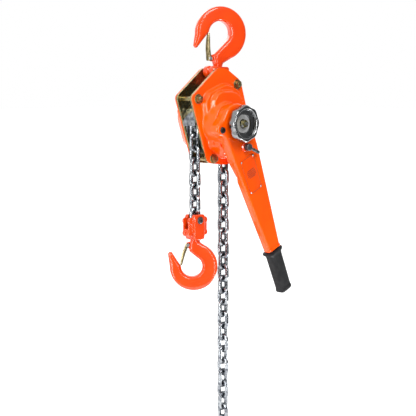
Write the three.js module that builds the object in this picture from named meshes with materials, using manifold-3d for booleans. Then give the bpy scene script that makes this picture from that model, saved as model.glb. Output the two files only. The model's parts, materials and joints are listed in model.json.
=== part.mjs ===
// Lever chain hoist, 1.5 t class, on 8 x 24 mm load chain.
// Millimetres, +Z up, +X to the right across the side plates, +Y towards the gear side.
// The origin is the saddle of the top hook, the point that the hoist hangs from.
import * as THREE from 'three';
import { mergeVertices } from 'three/addons/utils/BufferGeometryUtils.js';
import Module from 'manifold-3d';

const wasm = await Module();
wasm.setup();

// Driving dimensions
const GAP = 0.3;                         // clearance between pieces that touch
const CHAIN_WIRE = 8;
const CHAIN_PITCH = 24;
const CHAIN_WIDTH = 27;                  // over one link
const WRAP_LINKS = 5;                    // links bent over the load sheave
const LOAD_LINKS = 8;                    // links from the sheave to the bottom yoke
const TAIL_LINKS = 26;                   // links on the slack side
const RING_RADIUS = 17;                  // end ring of the slack side, to the wire's middle
const SHEAVE_X = -23;                    // sheave axis, from the hook saddle
const SHEAVE_Z = -194;
const BODY_TILT = THREE.MathUtils.degToRad(14.7);    // the unloaded body hangs tilted
const LEVER_LEAN = THREE.MathUtils.degToRad(23.4);   // the lever leans from straight down
const HOOK_TURN = THREE.MathUtils.degToRad(22);      // top hook, about its shank
const LOWER_HOOK_TURN = THREE.MathUtils.degToRad(44.5);
const SELECTOR_TURN = THREE.MathUtils.degToRad(45);

// Side plates and the stack of depths along Y
const PLATE_IN = 17;
const PLATE_OUT = 21;
const SHEET = 2.5;
const COVER_BACK = -(PLATE_OUT + GAP);
const COVER_PANEL = -45;
const COVER_DRUM = -54;
const GEAR_COVER_DEPTH = 52;
const TOP_PIN_Z = -110;
const BODY_OUTLINE = [
  [-54.5, 66], [27, 101.5], [50, 93], [81, 62], [84, 8], [76, -58], [16, -91], [-45, -67],
];
const OUTLINE_ROUNDING = [8, 7, 7, 9, 12, 14, 26, 9];
const STAY_BOLTS = [[-39, 57.6], [69.3, 57.6], [59.4, -63.3], [-29, -63.3]];
const STAY_RADIUS = 5;
const STAY_THREAD = 4;
const NUT_RADIUS = 7.5;
const NUT_HEIGHT = 6.5;

// Load sheave and the guides outside its chain
const VERTEX_RADIUS = CHAIN_PITCH / 2 / Math.sin(Math.PI / 10);
const SHEAVE_BORE = 7.5;
const BEARING_RADIUS = 18;
const GUIDE_RADII = [53.4, 55];
const GUIDE_ANGLES = { left: [150, 186], right: [-6, 30] };

// Gear train: two equal stages of 3 to 1
const GEAR_MODULE = 2;
const PINION_TEETH = 8;
const WHEEL_TEETH = 24;
const GEAR_CENTRES = GEAR_MODULE * (PINION_TEETH + WHEEL_TEETH) / 2;
const IDLER_TURN = THREE.MathUtils.degToRad(5);      // idlers lie on a line just off upright
const LOAD_GEAR_Y = [24.5, 33.5];
const PINION_Y = [35, 43];
const SHAFT_RADIUS = 5.5;

// Brake
const RATCHET_TEETH = 24;
const RATCHET_TIP = 28;
const RATCHET_ROOT = 25;
const RATCHET_Y = [-38, -33.3];
const PAWL_ARM = 41;
const PAWL_ANGLES = [60, 240];
const PAWL_REACH_ANGLE = 35;

// Lever, in its own frame: it points down -Z from the sheave axis
const LEVER_FACE = -77;
const LEVER_SPLIT = -67;
const LEVER_BACK = -55.5;
const LEVER_LENGTH = 276;
const LEVER_WIDE = 34;
const LEVER_NARROW = 16.5;
const GRIP_LENGTH = 94;
const LUG_X = 42.3;
const LUG_RISE = 7.8;                     // the left lug is this much higher, the right one lower
const LUG_RADIUS = 12;
const HEAD_RADIUS = 37;
const SELECTOR_Z = -49;
const CHANGE_GEAR_TIP = 30;
const CHANGE_GEAR_ROOT = 27;
const CHANGE_GEAR_Y = [-71, -61];
const WHEEL_Y = [-101.5, -85];

// Materials
const finish = (color, roughness, metalness) => ({ color, roughness, metalness });
const ORANGE = finish(0xff5500, 0.3, 0.1);
const HOOK_ORANGE = finish(0xff4b0a, 0.42, 0.1);
const YELLOW_ZINC = finish(0xb7a45c, 0.35, 0.85);
const STEEL = finish(0x8d9094, 0.35, 0.9);
const CHAIN_ZINC = finish(0xc4c8cc, 0.28, 0.95);
const CHROME = finish(0xd6d8da, 0.12, 1);
const DARK_STEEL = finish(0x3a3c3f, 0.45, 0.8);
const FRICTION = finish(0x6b5340, 0.85, 0);
const RUBBER = finish(0x18191a, 0.7, 0);
const BLACK = finish(0x141414, 0.4, 0.5);
const SILVER_SHEET = finish(0xb9b4a2, 0.35, 0.85);

// Turns a geometry's triangles to face out
function facingOut(geometry) {
  const position = geometry.getAttribute('position');
  const index = geometry.getIndex().array;
  const [a, b, c] = [new THREE.Vector3(), new THREE.Vector3(), new THREE.Vector3()];
  let volume = 0;
  for (let i = 0; i < index.length; i += 3) {
    a.fromBufferAttribute(position, index[i]);
    b.fromBufferAttribute(position, index[i + 1]);
    c.fromBufferAttribute(position, index[i + 2]);
    volume += a.dot(b.cross(c));
  }
  if (volume < 0) {
    for (let i = 0; i < index.length; i += 3) {
      [index[i + 1], index[i + 2]] = [index[i + 2], index[i + 1]];
    }
  }
  return geometry;
}

// A geometry as a solid that can be joined and cut
function solid(geometry) {
  const bare = geometry.index ? geometry.clone() : geometry;
  bare.deleteAttribute('normal');
  bare.deleteAttribute('uv');
  const merged = facingOut(mergeVertices(bare, 1e-4));
  const mesh = new wasm.Mesh({
    numProp: 3,
    vertProperties: new Float32Array(merged.getAttribute('position').array),
    triVerts: new Uint32Array(merged.getIndex().array),
  });
  return new wasm.Manifold(mesh);
}

function union(...geometries) {
  return geometries.map(solid).reduce((whole, next) => whole.add(next));
}

function cut(whole, ...geometries) {
  return geometries.map(solid).reduce((rest, next) => rest.subtract(next), whole);
}

function geometryOf(manifold) {
  const { vertProperties, triVerts } = manifold.getMesh();
  const geometry = new THREE.BufferGeometry();
  geometry.setAttribute('position', new THREE.BufferAttribute(new Float32Array(vertProperties), 3));
  geometry.setIndex([...triVerts]);
  geometry.computeVertexNormals();
  return geometry;
}

// A round bar along Y
function rod(radius, y0, y1, x = 0, z = 0, sides = 16) {
  return new THREE.CylinderGeometry(radius, radius, y1 - y0, sides).translate(x, (y0 + y1) / 2, z);
}

// A round bar along Z
function upright(radius, z0, z1) {
  const bar = new THREE.CylinderGeometry(radius, radius, z1 - z0, 16);
  return bar.rotateX(Math.PI / 2).translate(0, 0, (z0 + z1) / 2);
}

// A hexagon bar along Y
function hexagon(radius, y0, y1, x = 0, z = 0) {
  return rod(radius, y0, y1, x, z, 6);
}

function box(x0, x1, y0, y1, z0, z1) {
  const shape = new THREE.BoxGeometry(x1 - x0, y1 - y0, z1 - z0);
  return shape.translate((x0 + x1) / 2, (y0 + y1) / 2, (z0 + z1) / 2);
}

// A ring about Y between two radii
function ring(inner, outer, y0, y1, sides = 16) {
  return cut(solid(rod(outer, y0, y1, 0, 0, sides)), rod(inner, y0 - 1, y1 + 1, 0, 0, sides));
}

// An outline in X and Z, given depth along Y, with an optional chamfer inside the outline
function slab(shape, y0, y1, chamfer = 0) {
  const geometry = new THREE.ExtrudeGeometry(shape, {
    depth: y1 - y0 - 2 * chamfer,
    curveSegments: 2,
    bevelEnabled: chamfer > 0,
    bevelSize: chamfer,
    bevelThickness: chamfer,
    bevelOffset: -chamfer,
    bevelSegments: 1,
  });
  return geometry.rotateX(Math.PI / 2).translate(0, y1 - chamfer, 0);
}

// A closed outline through corner points, each corner rounded; inset moves it inwards
function rounded(corners, radii, inset = 0) {
  const points = corners.map(([x, z]) => new THREE.Vector2(x, z));
  const middle = points.reduce((sum, p) => sum.add(p), new THREE.Vector2()).divideScalar(points.length);
  const moved = points.map((point, i) => {
    const before = points.at(i - 1).clone().sub(point).normalize();
    const after = points[(i + 1) % points.length].clone().sub(point).normalize();
    const bisector = before.clone().add(after).normalize();
    const half = Math.acos(THREE.MathUtils.clamp(before.dot(after), -1, 1)) / 2;
    if (bisector.dot(middle.clone().sub(point)) < 0) bisector.negate();
    return point.clone().addScaledVector(bisector, inset / Math.sin(half));
  });
  const shape = new THREE.Shape();
  moved.forEach((point, i) => {
    const radius = Math.max(Array.isArray(radii) ? radii[i] : radii, 0.5) - Math.min(inset, 3);
    const before = moved.at(i - 1).clone().sub(point);
    const after = moved[(i + 1) % moved.length].clone().sub(point);
    const reach = Math.min(Math.max(radius, 1), before.length() / 2.2, after.length() / 2.2);
    const start = point.clone().addScaledVector(before.normalize(), reach);
    const end = point.clone().addScaledVector(after.normalize(), reach);
    if (i === 0) shape.moveTo(start.x, start.y);
    else shape.lineTo(start.x, start.y);
    shape.quadraticCurveTo(point.x, point.y, end.x, end.y);
  });
  shape.closePath();
  return shape;
}

const polar = (radius, degrees) => {
  const angle = THREE.MathUtils.degToRad(degrees);
  return [radius * Math.cos(angle), radius * Math.sin(angle)];
};

// A gear outline: each tooth is four points, first tooth centred on the given angle
function gearShape(teeth, rootRadius, tipRadius, rootShare, tipShare, firstTooth) {
  const pitch = 360 / teeth;
  const shape = new THREE.Shape();
  for (let tooth = 0; tooth < teeth; tooth += 1) {
    const centre = firstTooth + tooth * pitch;
    const corners = [
      polar(rootRadius, centre - rootShare * pitch / 2),
      polar(tipRadius, centre - tipShare * pitch / 2),
      polar(tipRadius, centre + tipShare * pitch / 2),
      polar(rootRadius, centre + rootShare * pitch / 2),
    ];
    corners.forEach(([x, z], i) => (tooth + i === 0 ? shape.moveTo(x, z) : shape.lineTo(x, z)));
  }
  shape.closePath();
  return shape;
}

// Groups: the hoist in its row frame, and the turned frames inside it
const hoist = new THREE.Group();
const place = (parent, x, z, turnY = 0, turnZ = 0) => {
  const group = new THREE.Group();
  group.position.set(x, 0, z);
  group.rotation.set(0, turnY, turnZ);
  parent.add(group);
  return group;
};
const sheaveFrame = place(hoist, SHEAVE_X, SHEAVE_Z);
const bodyFrame = place(hoist, SHEAVE_X, SHEAVE_Z, -BODY_TILT);
const leverFrame = place(hoist, SHEAVE_X, SHEAVE_Z, -LEVER_LEAN);
const topHookFrame = place(hoist, 0, 0, 0, -HOOK_TURN);
const topYokeFrame = place(hoist, 0, 0);

function node(group, name, shape, look) {
  const geometry = shape instanceof wasm.Manifold ? geometryOf(shape) : shape;
  const material = new THREE.MeshStandardMaterial({ ...look, name: `${name}_finish` });
  const mesh = new THREE.Mesh(geometry, material);
  mesh.name = name;
  group.add(mesh);
  return mesh;
}

// ---- Hooks -------------------------------------------------------------------------------

// A forged hook in X and Z with its bowl's inner saddle point at the origin and its shank
// along X = 0; side is +1 where the bowl opens downwards and -1 where it opens upwards.
function hook(size, side) {
  const { inner, outer, innerX, outerX, thick, neckZ, shankEnd, tip, lug } = size;
  const innerZ = -inner;
  const outerZ = size.outerTop - outer;
  const shape = new THREE.Shape();
  const at = (x, z) => [x, side * z];
  const arc = (cx, cz, radius, from, to, steps) => {
    for (let i = 0; i <= steps; i += 1) {
      const [x, z] = polar(radius, from + (to - from) * i / steps);
      shape.lineTo(...at(cx + x, cz + z));
    }
  };
  shape.moveTo(...at(9, neckZ));
  shape.lineTo(...at(9.5, neckZ + 5));
  arc(outerX, outerZ, outer, -62, 186, 18);
  shape.lineTo(...at(tip[0] - 4.5, tip[1] + 5));
  arc(tip[0], tip[1], 4.4, 175, 320, 4);
  arc(innerX, innerZ, inner / Math.cos(Math.PI / 18), 180, -40, 11);
  shape.lineTo(...at(lug[0] + 7, lug[1] + 3));
  shape.lineTo(...at(-9, neckZ + 8));
  shape.lineTo(...at(-9, neckZ));
  shape.closePath();
  const body = union(slab(shape, -thick / 2, thick / 2, 4));
  const shank = (radius, z0, z1) => (
    solid(upright(radius, Math.min(side * z0, side * z1), Math.max(side * z0, side * z1)))
  );
  const latchLug = slab(rounded([
    [-4, side * (lug[1] - 7)], [-4, side * (lug[1] + 12)],
    [lug[0] - 3.8, side * (lug[1] + 4)], [lug[0] - 3.8, side * (lug[1] - 4)],
  ], 3), -4.5, 4.5);
  return cut(
    body.add(shank(8.5, shankEnd, neckZ + 6)).add(shank(13, shankEnd, shankEnd + 7)).add(solid(latchLug)),
    rod(2 + GAP, -10, 10, lug[0], side * lug[1], 10),
  );
}

const TOP_HOOK = {
  inner: 21.6, outer: 52, innerX: 2.2, outerX: 5, outerTop: 28.4, thick: 22,
  neckZ: -86, shankEnd: -99.5, tip: [-46, -47], lug: [-17, -71],
};
const LOWER_HOOK = {
  inner: 20.6, outer: 46.6, innerX: -4.4, outerX: -0.7, outerTop: 26.5, thick: 20,
  neckZ: -72, shankEnd: -90, tip: [-45.5, -45], lug: [-13.5, -62],
};

// A pressed-steel latch: a channel that straddles the lug, its end against the hook's tip
function latch(size, side) {
  const [pivotX, pivotZ] = size.lug;
  const tipX = size.innerX - size.inner;
  const tipZ = -size.inner;
  const outline = (web) => new THREE.Shape([
    [tipX - 2.2 + web, tipZ - 4.4 - web], [tipX + 2.6 + web, tipZ + 2.8 - web],
    [tipX + 5.5 + web * 9, pivotZ + 20], [pivotX + 5 + web * 9, pivotZ + 2],
    [pivotX + 3, pivotZ - 4.5 - web * 9], [pivotX - 6.5 + web, pivotZ - 4.5 - web * 9],
  ].map(([x, z]) => new THREE.Vector2(x, side * z)));
  const halfWidth = 7.2;
  return cut(
    union(slab(outline(0), -halfWidth, halfWidth)),
    slab(outline(1.5), -halfWidth + 1.8, halfWidth - 1.8),
    rod(2 + GAP, -10, 10, pivotX, side * pivotZ, 10),
  );
}

function addHook(group, prefix, size, side) {
  node(group, `${prefix}_hook`, hook(size, side), HOOK_ORANGE);
  node(group, `${prefix}_latch`, latch(size, side), SILVER_SHEET);
  const [x, z] = size.lug;
  node(group, `${prefix}_latch_pin`, rod(2, -8.6, 8.6, x, side * z, 10), STEEL);
}
addHook(topHookFrame, 'top', TOP_HOOK, 1);

// ---- Top yoke ----------------------------------------------------------------------------

function topYokeHalf(front) {
  const [y0, y1] = front ? [-16.5, -GAP / 2] : [GAP / 2, 16.5];
  const outline = rounded([[-15, -122], [15, -122], [16, -86.5], [-16, -86.5]], 5);
  return cut(
    union(slab(outline, y0, y1), rod(9, y0, y1, -17, -96), rod(7.5, y0, y1, 17, -108)),
    upright(8.5 + GAP, -100, -80),
    upright(13 + GAP, -100, -92),
    rod(7 + GAP, -30, 30, 0, TOP_PIN_Z),
    rod(3.2 + GAP, -30, 30, -18, -96, 10),
    rod(3.2 + GAP, -30, 30, 17.5, -108, 10),
  );
}
node(topYokeFrame, 'top_yoke_front', topYokeHalf(true), HOOK_ORANGE);
node(topYokeFrame, 'top_yoke_rear', topYokeHalf(false), HOOK_ORANGE);
node(topYokeFrame, 'top_yoke_rivet_left', rod(3.2, -16.5, 16.5, -18, -96, 10), STEEL);
node(topYokeFrame, 'top_yoke_rivet_right', rod(3.2, -16.5, 16.5, 17.5, -108, 10), STEEL);
node(topYokeFrame, 'top_pin', rod(7, -PLATE_OUT, PLATE_OUT, 0, TOP_PIN_Z), STEEL);

// ---- Frame: side plates, covers, stay bolts ------------------------------------------------

// Points of the sheave frame and the row frame, given in the tilted body frame
function inBody([x, z]) {
  const cos = Math.cos(BODY_TILT);
  const sin = Math.sin(BODY_TILT);
  return [x * cos + z * sin, -x * sin + z * cos];
}
const TOP_PIN_PLACE = inBody([-SHEAVE_X, TOP_PIN_Z - SHEAVE_Z]);
const IDLERS = [1, -1].map((up) => [
  -up * GEAR_CENTRES * Math.sin(IDLER_TURN), up * GEAR_CENTRES * Math.cos(IDLER_TURN),
]);
const PAWL_PIVOTS = PAWL_ANGLES.map((angle) => polar(PAWL_ARM, angle));

function sidePlate(y0, y1) {
  const holes = STAY_BOLTS.map(([x, z]) => rod(STAY_THREAD + GAP, y0 - 1, y1 + 1, x, z, 12));
  const topPin = rod(7 + GAP, y0 - 1, y1 + 1, ...TOP_PIN_PLACE);
  const bearing = rod(BEARING_RADIUS + 3, y0 - 1, y1 + 1);
  const plate = solid(slab(rounded(BODY_OUTLINE, OUTLINE_ROUNDING), y0, y1));
  return cut(plate, bearing, topPin, ...holes);
}

function frontPlate() {
  const plate = sidePlate(-PLATE_OUT, -PLATE_IN);
  return PAWL_PIVOTS.reduce(
    (whole, [x, z]) => whole.add(solid(rod(4, -40, -PLATE_IN, x, z, 12))),
    plate,
  );
}
node(bodyFrame, 'side_plate_front', frontPlate(), YELLOW_ZINC);
node(bodyFrame, 'side_plate_rear', sidePlate(PLATE_IN, PLATE_OUT), YELLOW_ZINC);

const BRAKE_PANEL = [[-36, 34], [-20, 58], [50, 60], [68, 40], [68, -34], [37, -72], [-8, -72], [-36, -34]];
const GEAR_DOME = [[-50, 24], [-22, 65], [50, 70], [70, 42], [70, -38], [38, -74], [-6, -74], [-46, -34]];

function flange(y0, y1) {
  const holes = STAY_BOLTS.map(([x, z]) => rod(STAY_THREAD + GAP, y0 - 1, y1 + 1, x, z, 12));
  return cut(solid(slab(rounded(BODY_OUTLINE, OUTLINE_ROUNDING, 0.8), y0, y1)), ...holes);
}

function brakeCover() {
  const shell = flange(COVER_BACK - SHEET, COVER_BACK)
    .add(solid(slab(rounded(BRAKE_PANEL, 9), COVER_PANEL, COVER_BACK + 6, 5)))
    .add(solid(rod(41, COVER_DRUM, COVER_BACK, 0, 0, 20)));
  return cut(
    shell,
    slab(rounded(BRAKE_PANEL, 9, SHEET), COVER_PANEL + SHEET, COVER_BACK + 9, 4),
    rod(41 - SHEET, COVER_DRUM + SHEET, 9, 0, 0, 20),
    rod(20, COVER_DRUM - 9, 0),
    box(-200, 200, COVER_BACK, 60, -200, 200),
  );
}
node(bodyFrame, 'brake_cover', brakeCover(), ORANGE);

function gearCover() {
  const top = GEAR_COVER_DEPTH;
  const shell = flange(-COVER_BACK, -COVER_BACK + SHEET)
    .add(solid(slab(rounded(GEAR_DOME, 9), 10, top, 8)));
  return cut(
    shell,
    slab(rounded(GEAR_DOME, 9, SHEET), 5, top - SHEET, 7),
    box(-200, 200, -60, -COVER_BACK, -200, 200),
  );
}
node(bodyFrame, 'gear_cover', gearCover(), ORANGE);

STAY_BOLTS.forEach(([x, z], i) => {
  const coverFront = COVER_BACK - SHEET - GAP;
  const rearFace = -coverFront;
  const bolt = union(
    rod(STAY_RADIUS, -PLATE_IN + GAP, PLATE_IN - GAP, x, z, 14),
    rod(STAY_THREAD, coverFront - NUT_HEIGHT - 1.5, rearFace + 1, x, z, 12),
    hexagon(NUT_RADIUS, rearFace, rearFace + NUT_HEIGHT, x, z),
  );
  node(bodyFrame, `stay_bolt_${i + 1}`, bolt, YELLOW_ZINC);
  const nut = cut(
    union(hexagon(NUT_RADIUS, coverFront - NUT_HEIGHT, coverFront, x, z)),
    rod(STAY_THREAD + GAP, coverFront - 20, coverFront + 5, x, z, 12),
  );
  node(bodyFrame, `stay_nut_${i + 1}`, nut, YELLOW_ZINC);
});

// ---- Load sheave, chain guides, stripper ---------------------------------------------------

function loadSheave() {
  const half = PLATE_IN - 0.5;
  const profile = [
    [SHEAVE_BORE, -PLATE_OUT], [BEARING_RADIUS - GAP, -PLATE_OUT], [BEARING_RADIUS - GAP, -half],
    [47, -half], [47, -15.4], [31, -15.2], [31, -5.6], [21.5, -5.6],
    [21.5, 5.6], [31, 5.6], [31, 15.2], [47, 15.4], [47, half],
    [BEARING_RADIUS - GAP, half], [BEARING_RADIUS - GAP, PLATE_OUT], [13, PLATE_OUT],
    [13, LOAD_GEAR_Y[1] + 0.6], [SHEAVE_BORE, LOAD_GEAR_Y[1] + 0.6],
  ].map(([x, y]) => new THREE.Vector2(x, y));
  profile.push(profile[0].clone());
  return union(new THREE.LatheGeometry(profile, 20));
}
node(sheaveFrame, 'load_sheave', loadSheave(), STEEL);
const bush = (y0, y1) => ring(BEARING_RADIUS + GAP, BEARING_RADIUS + 2.4, y0, y1, 20);
node(sheaveFrame, 'sheave_bush_front', bush(-PLATE_OUT, -PLATE_IN), STEEL);
node(sheaveFrame, 'sheave_bush_rear', bush(PLATE_IN, PLATE_OUT), STEEL);

// A curved plate just outside the chain on the sheave
Object.entries(GUIDE_ANGLES).forEach(([sideName, [from, to]]) => {
  const steps = 8;
  const at = (radius, i) => new THREE.Vector2(...polar(radius, from + (to - from) * i / steps));
  const across = [...Array(steps + 1).keys()];
  const outline = [
    ...across.map((i) => at(GUIDE_RADII[0], i)),
    ...across.reverse().map((i) => at(GUIDE_RADII[1], i)),
  ];
  const half = PLATE_IN - GAP;
  node(sheaveFrame, `chain_guide_${sideName}`, union(slab(new THREE.Shape(outline), -half, half)), STEEL);
});

function chainStripper() {
  const foot = slab(rounded([[-17, -60], [17, -60], [12, -50], [-12, -50]], 2), -16.6, 16.6);
  const finger = slab(rounded([[-9, -52], [9, -52], [14, -27], [-14, -27]], 2), -4.2, 4.2);
  return union(foot, finger);
}
node(sheaveFrame, 'chain_stripper', chainStripper(), STEEL);

// ---- Gear train ------------------------------------------------------------------------------

const wheelShape = (firstTooth) => gearShape(WHEEL_TEETH, 21.8, 25.7, 0.5, 0.24, firstTooth);
const pinionShape = (firstTooth) => gearShape(PINION_TEETH, 6, 9.7, 0.46, 0.2, firstTooth);
const IDLER_DIRECTION = 90 + THREE.MathUtils.radToDeg(IDLER_TURN);
const WHEEL_PITCH = 360 / WHEEL_TEETH;
const PINION_PITCH = 360 / PINION_TEETH;

function loadGear() {
  const outline = wheelShape(IDLER_DIRECTION + WHEEL_PITCH / 2);
  return cut(solid(slab(outline, ...LOAD_GEAR_Y)), rod(13 + GAP, 0, 60, 0, 0, 20));
}
node(bodyFrame, 'load_gear', loadGear(), STEEL);

function idlerGear([x, z]) {
  const wheel = slab(wheelShape(IDLER_DIRECTION), PINION_Y[0], PINION_Y[1]);
  const small = slab(pinionShape(IDLER_DIRECTION), LOAD_GEAR_Y[0], PINION_Y[0] + 0.5);
  const axle = rod(4.5, PLATE_IN + 5, 49, 0, 0, 12);
  return geometryOf(union(wheel, small, axle)).translate(x, 0, z);
}
node(bodyFrame, 'idler_gear_upper', idlerGear(IDLERS[0]), STEEL);
node(bodyFrame, 'idler_gear_lower', idlerGear(IDLERS[1]), STEEL);

function pinionShaft() {
  const teeth = slab(pinionShape(IDLER_DIRECTION + PINION_PITCH / 2), PINION_Y[0], PINION_Y[1]);
  return union(
    teeth,
    rod(SHAFT_RADIUS, -94.5, 49, 0, 0, 16),
    rod(3.5, -99, -86, 0, 0, 12),
  );
}
node(bodyFrame, 'pinion_shaft', pinionShaft(), STEEL);

// ---- Brake -------------------------------------------------------------------------------------

function frictionHub() {
  return ring(SHAFT_RADIUS + GAP, 26, -29.5, -25)
    .add(ring(SHAFT_RADIUS + GAP, 12, -41.5, -28));
}
node(bodyFrame, 'friction_hub', frictionHub(), STEEL);
node(bodyFrame, 'friction_disc_inner', ring(12 + GAP, 24, -33, -29.8), FRICTION);
node(bodyFrame, 'friction_disc_outer', ring(12 + GAP, 24, -41.5, -38.3), FRICTION);

function ratchetDisc() {
  const pitch = 360 / RATCHET_TEETH;
  const first = PAWL_ANGLES[0] + PAWL_REACH_ANGLE + 1.5;
  const shape = new THREE.Shape();
  for (let tooth = 0; tooth < RATCHET_TEETH; tooth += 1) {
    const start = first + tooth * pitch;
    const points = [
      polar(RATCHET_ROOT, start),
      polar(RATCHET_TIP, start + 0.1 * pitch),
      polar(RATCHET_TIP, start + 0.2 * pitch),
    ];
    points.forEach(([x, z], i) => (tooth + i === 0 ? shape.moveTo(x, z) : shape.lineTo(x, z)));
  }
  shape.closePath();
  return cut(solid(slab(shape, ...RATCHET_Y)), rod(12 + GAP, -50, 0));
}
node(bodyFrame, 'ratchet_disc', ratchetDisc(), STEEL);

function pawl(angle) {
  const pivot = new THREE.Vector2(...polar(PAWL_ARM, angle));
  const nose = new THREE.Vector2(...polar(RATCHET_ROOT + 1.9, angle + PAWL_REACH_ANGLE));
  const along = nose.clone().sub(pivot).normalize();
  const across = new THREE.Vector2(-along.y, along.x);
  if (across.dot(nose) < 0) across.negate();
  const corner = (base, offset) => base.clone().addScaledVector(across, offset);
  const finger = new THREE.Shape([
    corner(nose, 0), corner(nose, 4.5), corner(pivot, 7), corner(pivot, -3.5),
  ]);
  const [y0, y1] = RATCHET_Y;
  return cut(
    union(slab(finger, y0, y1), rod(7.5, y0, y1, pivot.x, pivot.y)),
    rod(4 + GAP, -50, 0, pivot.x, pivot.y, 12),
  );
}
node(bodyFrame, 'pawl_upper', pawl(PAWL_ANGLES[0]), STEEL);
node(bodyFrame, 'pawl_lower', pawl(PAWL_ANGLES[1]), STEEL);

// ---- Lever ---------------------------------------------------------------------------------------

// Outline of the lever's arm and head
function leverShape(inset, bottom) {
  const along = -bottom / LEVER_LENGTH;
  const low = THREE.MathUtils.lerp(LEVER_WIDE + 7, LEVER_NARROW, along) - inset;
  const lug = LUG_RADIUS - inset;
  const head = HEAD_RADIUS - inset;
  const half = (side) => {
    const drop = side * LUG_RISE;
    const points = [[low, bottom], [LEVER_WIDE + 1.5 - inset, -46], [LUG_X - 4, -18 + inset * 0.7 - drop]];
    for (const angle of [-70, -35, 0, 35, 66]) {
      const [x, z] = polar(lug, angle);
      points.push([LUG_X + x, z - drop]);
    }
    for (const angle of [52, 66, 80]) points.push(polar(head, angle));
    return points.map(([x, z]) => [side * x, z]);
  };
  return new THREE.Shape([...half(1), ...half(-1).reverse()].map(([x, z]) => new THREE.Vector2(x, z)));
}

const LEVER_SCREWS = [[-LUG_X, LUG_RISE - 2], [LUG_X, -LUG_RISE - 2]];
const screwHoles = () => LEVER_SCREWS.map(([x, z]) => rod(2.5 + GAP, -90, -40, x, z, 10));

function leverFrontShell() {
  const outer = slab(leverShape(0, -LEVER_LENGTH), LEVER_FACE, LEVER_SPLIT + 5, 2.5);
  const cavity = slab(leverShape(SHEET, -LEVER_LENGTH + SHEET), LEVER_FACE + SHEET, -30);
  const tang = box(-9, 9, -73, -63, -LEVER_LENGTH - GRIP_LENGTH + 6, -LEVER_LENGTH + 3);
  const bosses = LEVER_SCREWS.map(([x, z]) => solid(rod(6, LEVER_FACE + 1, LEVER_SPLIT - GAP, x, z)));
  let shell = cut(solid(outer), cavity, box(-80, 80, LEVER_SPLIT - GAP, 0, -100, 80));
  shell = [...bosses, solid(tang)].reduce((whole, next) => whole.add(next), shell);
  return cut(shell, ...screwHoles(), rod(15, -90, -60), rod(5 + GAP, -90, -60, 0, SELECTOR_Z));
}
node(leverFrame, 'lever_front_shell', leverFrontShell(), ORANGE);

function leverRearShell() {
  const outer = slab(leverShape(0, -99), LEVER_SPLIT, LEVER_BACK, 2.5);
  const trim = box(-80, 80, LEVER_SPLIT - 9, LEVER_SPLIT + 0.05, -120, 80);
  const skirt = slab(leverShape(0, -99), LEVER_SPLIT, LEVER_SPLIT + 5);
  const cavity = slab(leverShape(SHEET, -99 + SHEET), LEVER_SPLIT - 5, LEVER_BACK - SHEET);
  const bosses = LEVER_SCREWS.map(([x, z]) => solid(rod(6, LEVER_SPLIT + 0.1, LEVER_BACK - 1, x, z)));
  const shell = cut(solid(outer).add(solid(skirt)), cavity, trim);
  const bossed = bosses.reduce((whole, next) => whole.add(next), shell);
  return cut(bossed, ...screwHoles(), rod(18.5, -90, -40));
}
node(leverFrame, 'lever_rear_shell', leverRearShell(), ORANGE);

['left', 'right'].forEach((sideName, i) => {
  const [x, z] = LEVER_SCREWS[i];
  const screw = union(
    rod(4.6, LEVER_FACE - GAP - 2, LEVER_FACE - GAP, x, z, 12),
    rod(2.5, LEVER_FACE - GAP - 1, LEVER_BACK - 1, x, z, 10),
  );
  node(leverFrame, `lever_screw_${sideName}`, screw, BLACK);
});

// The selector knob turns the two-nosed selector pawl inside the lever
const selectorFrame = new THREE.Group();
selectorFrame.position.set(0, 0, SELECTOR_Z);
selectorFrame.rotation.y = -SELECTOR_TURN;
leverFrame.add(selectorFrame);

function selectorKnob() {
  const stem = new THREE.CylinderGeometry(3, 2.5, 28, 12).rotateX(Math.PI / 2).translate(0, -86.5, -17);
  return union(
    rod(7, -91, -81, 0, 0, 16),
    rod(8.5, -81.5, LEVER_FACE - GAP, 0, 0, 16),
    rod(5, -79, -64, 0, 0, 12),
    stem,
  );
}
node(selectorFrame, 'selector_knob', selectorKnob(), DARK_STEEL);

function selectorPawl() {
  const nose = (angle) => {
    const tip = polar(-SELECTOR_Z - CHANGE_GEAR_TIP - 2 * GAP, angle);
    const left = polar(8, angle + 75);
    const right = polar(8, angle - 75);
    const across = polar(1.2, angle + 90);
    const corners = [
      right, [tip[0] - across[0], tip[1] - across[1]], [tip[0] + across[0], tip[1] + across[1]], left,
    ];
    return slab(new THREE.Shape(corners.map(([x, z]) => new THREE.Vector2(x, z))), -70, -62);
  };
  return cut(
    union(rod(9, -70, -62, 0, 0, 16), nose(135), nose(45)),
    rod(5 + GAP, -90, -50, 0, 0, 12),
  );
}
node(selectorFrame, 'selector_pawl', selectorPawl(), STEEL);

function changeoverGear() {
  const teeth = gearShape(24, CHANGE_GEAR_ROOT, CHANGE_GEAR_TIP, 0.5, 0.3, 90 + 7.5);
  return cut(
    union(
      slab(teeth, ...CHANGE_GEAR_Y),
      rod(17.5, -62, -45),
      rod(25, -46, -41.8),
    ),
    rod(SHAFT_RADIUS + GAP, -90, -30, 0, 0, 16),
  );
}
node(leverFrame, 'changeover_gear', changeoverGear(), STEEL);

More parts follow.
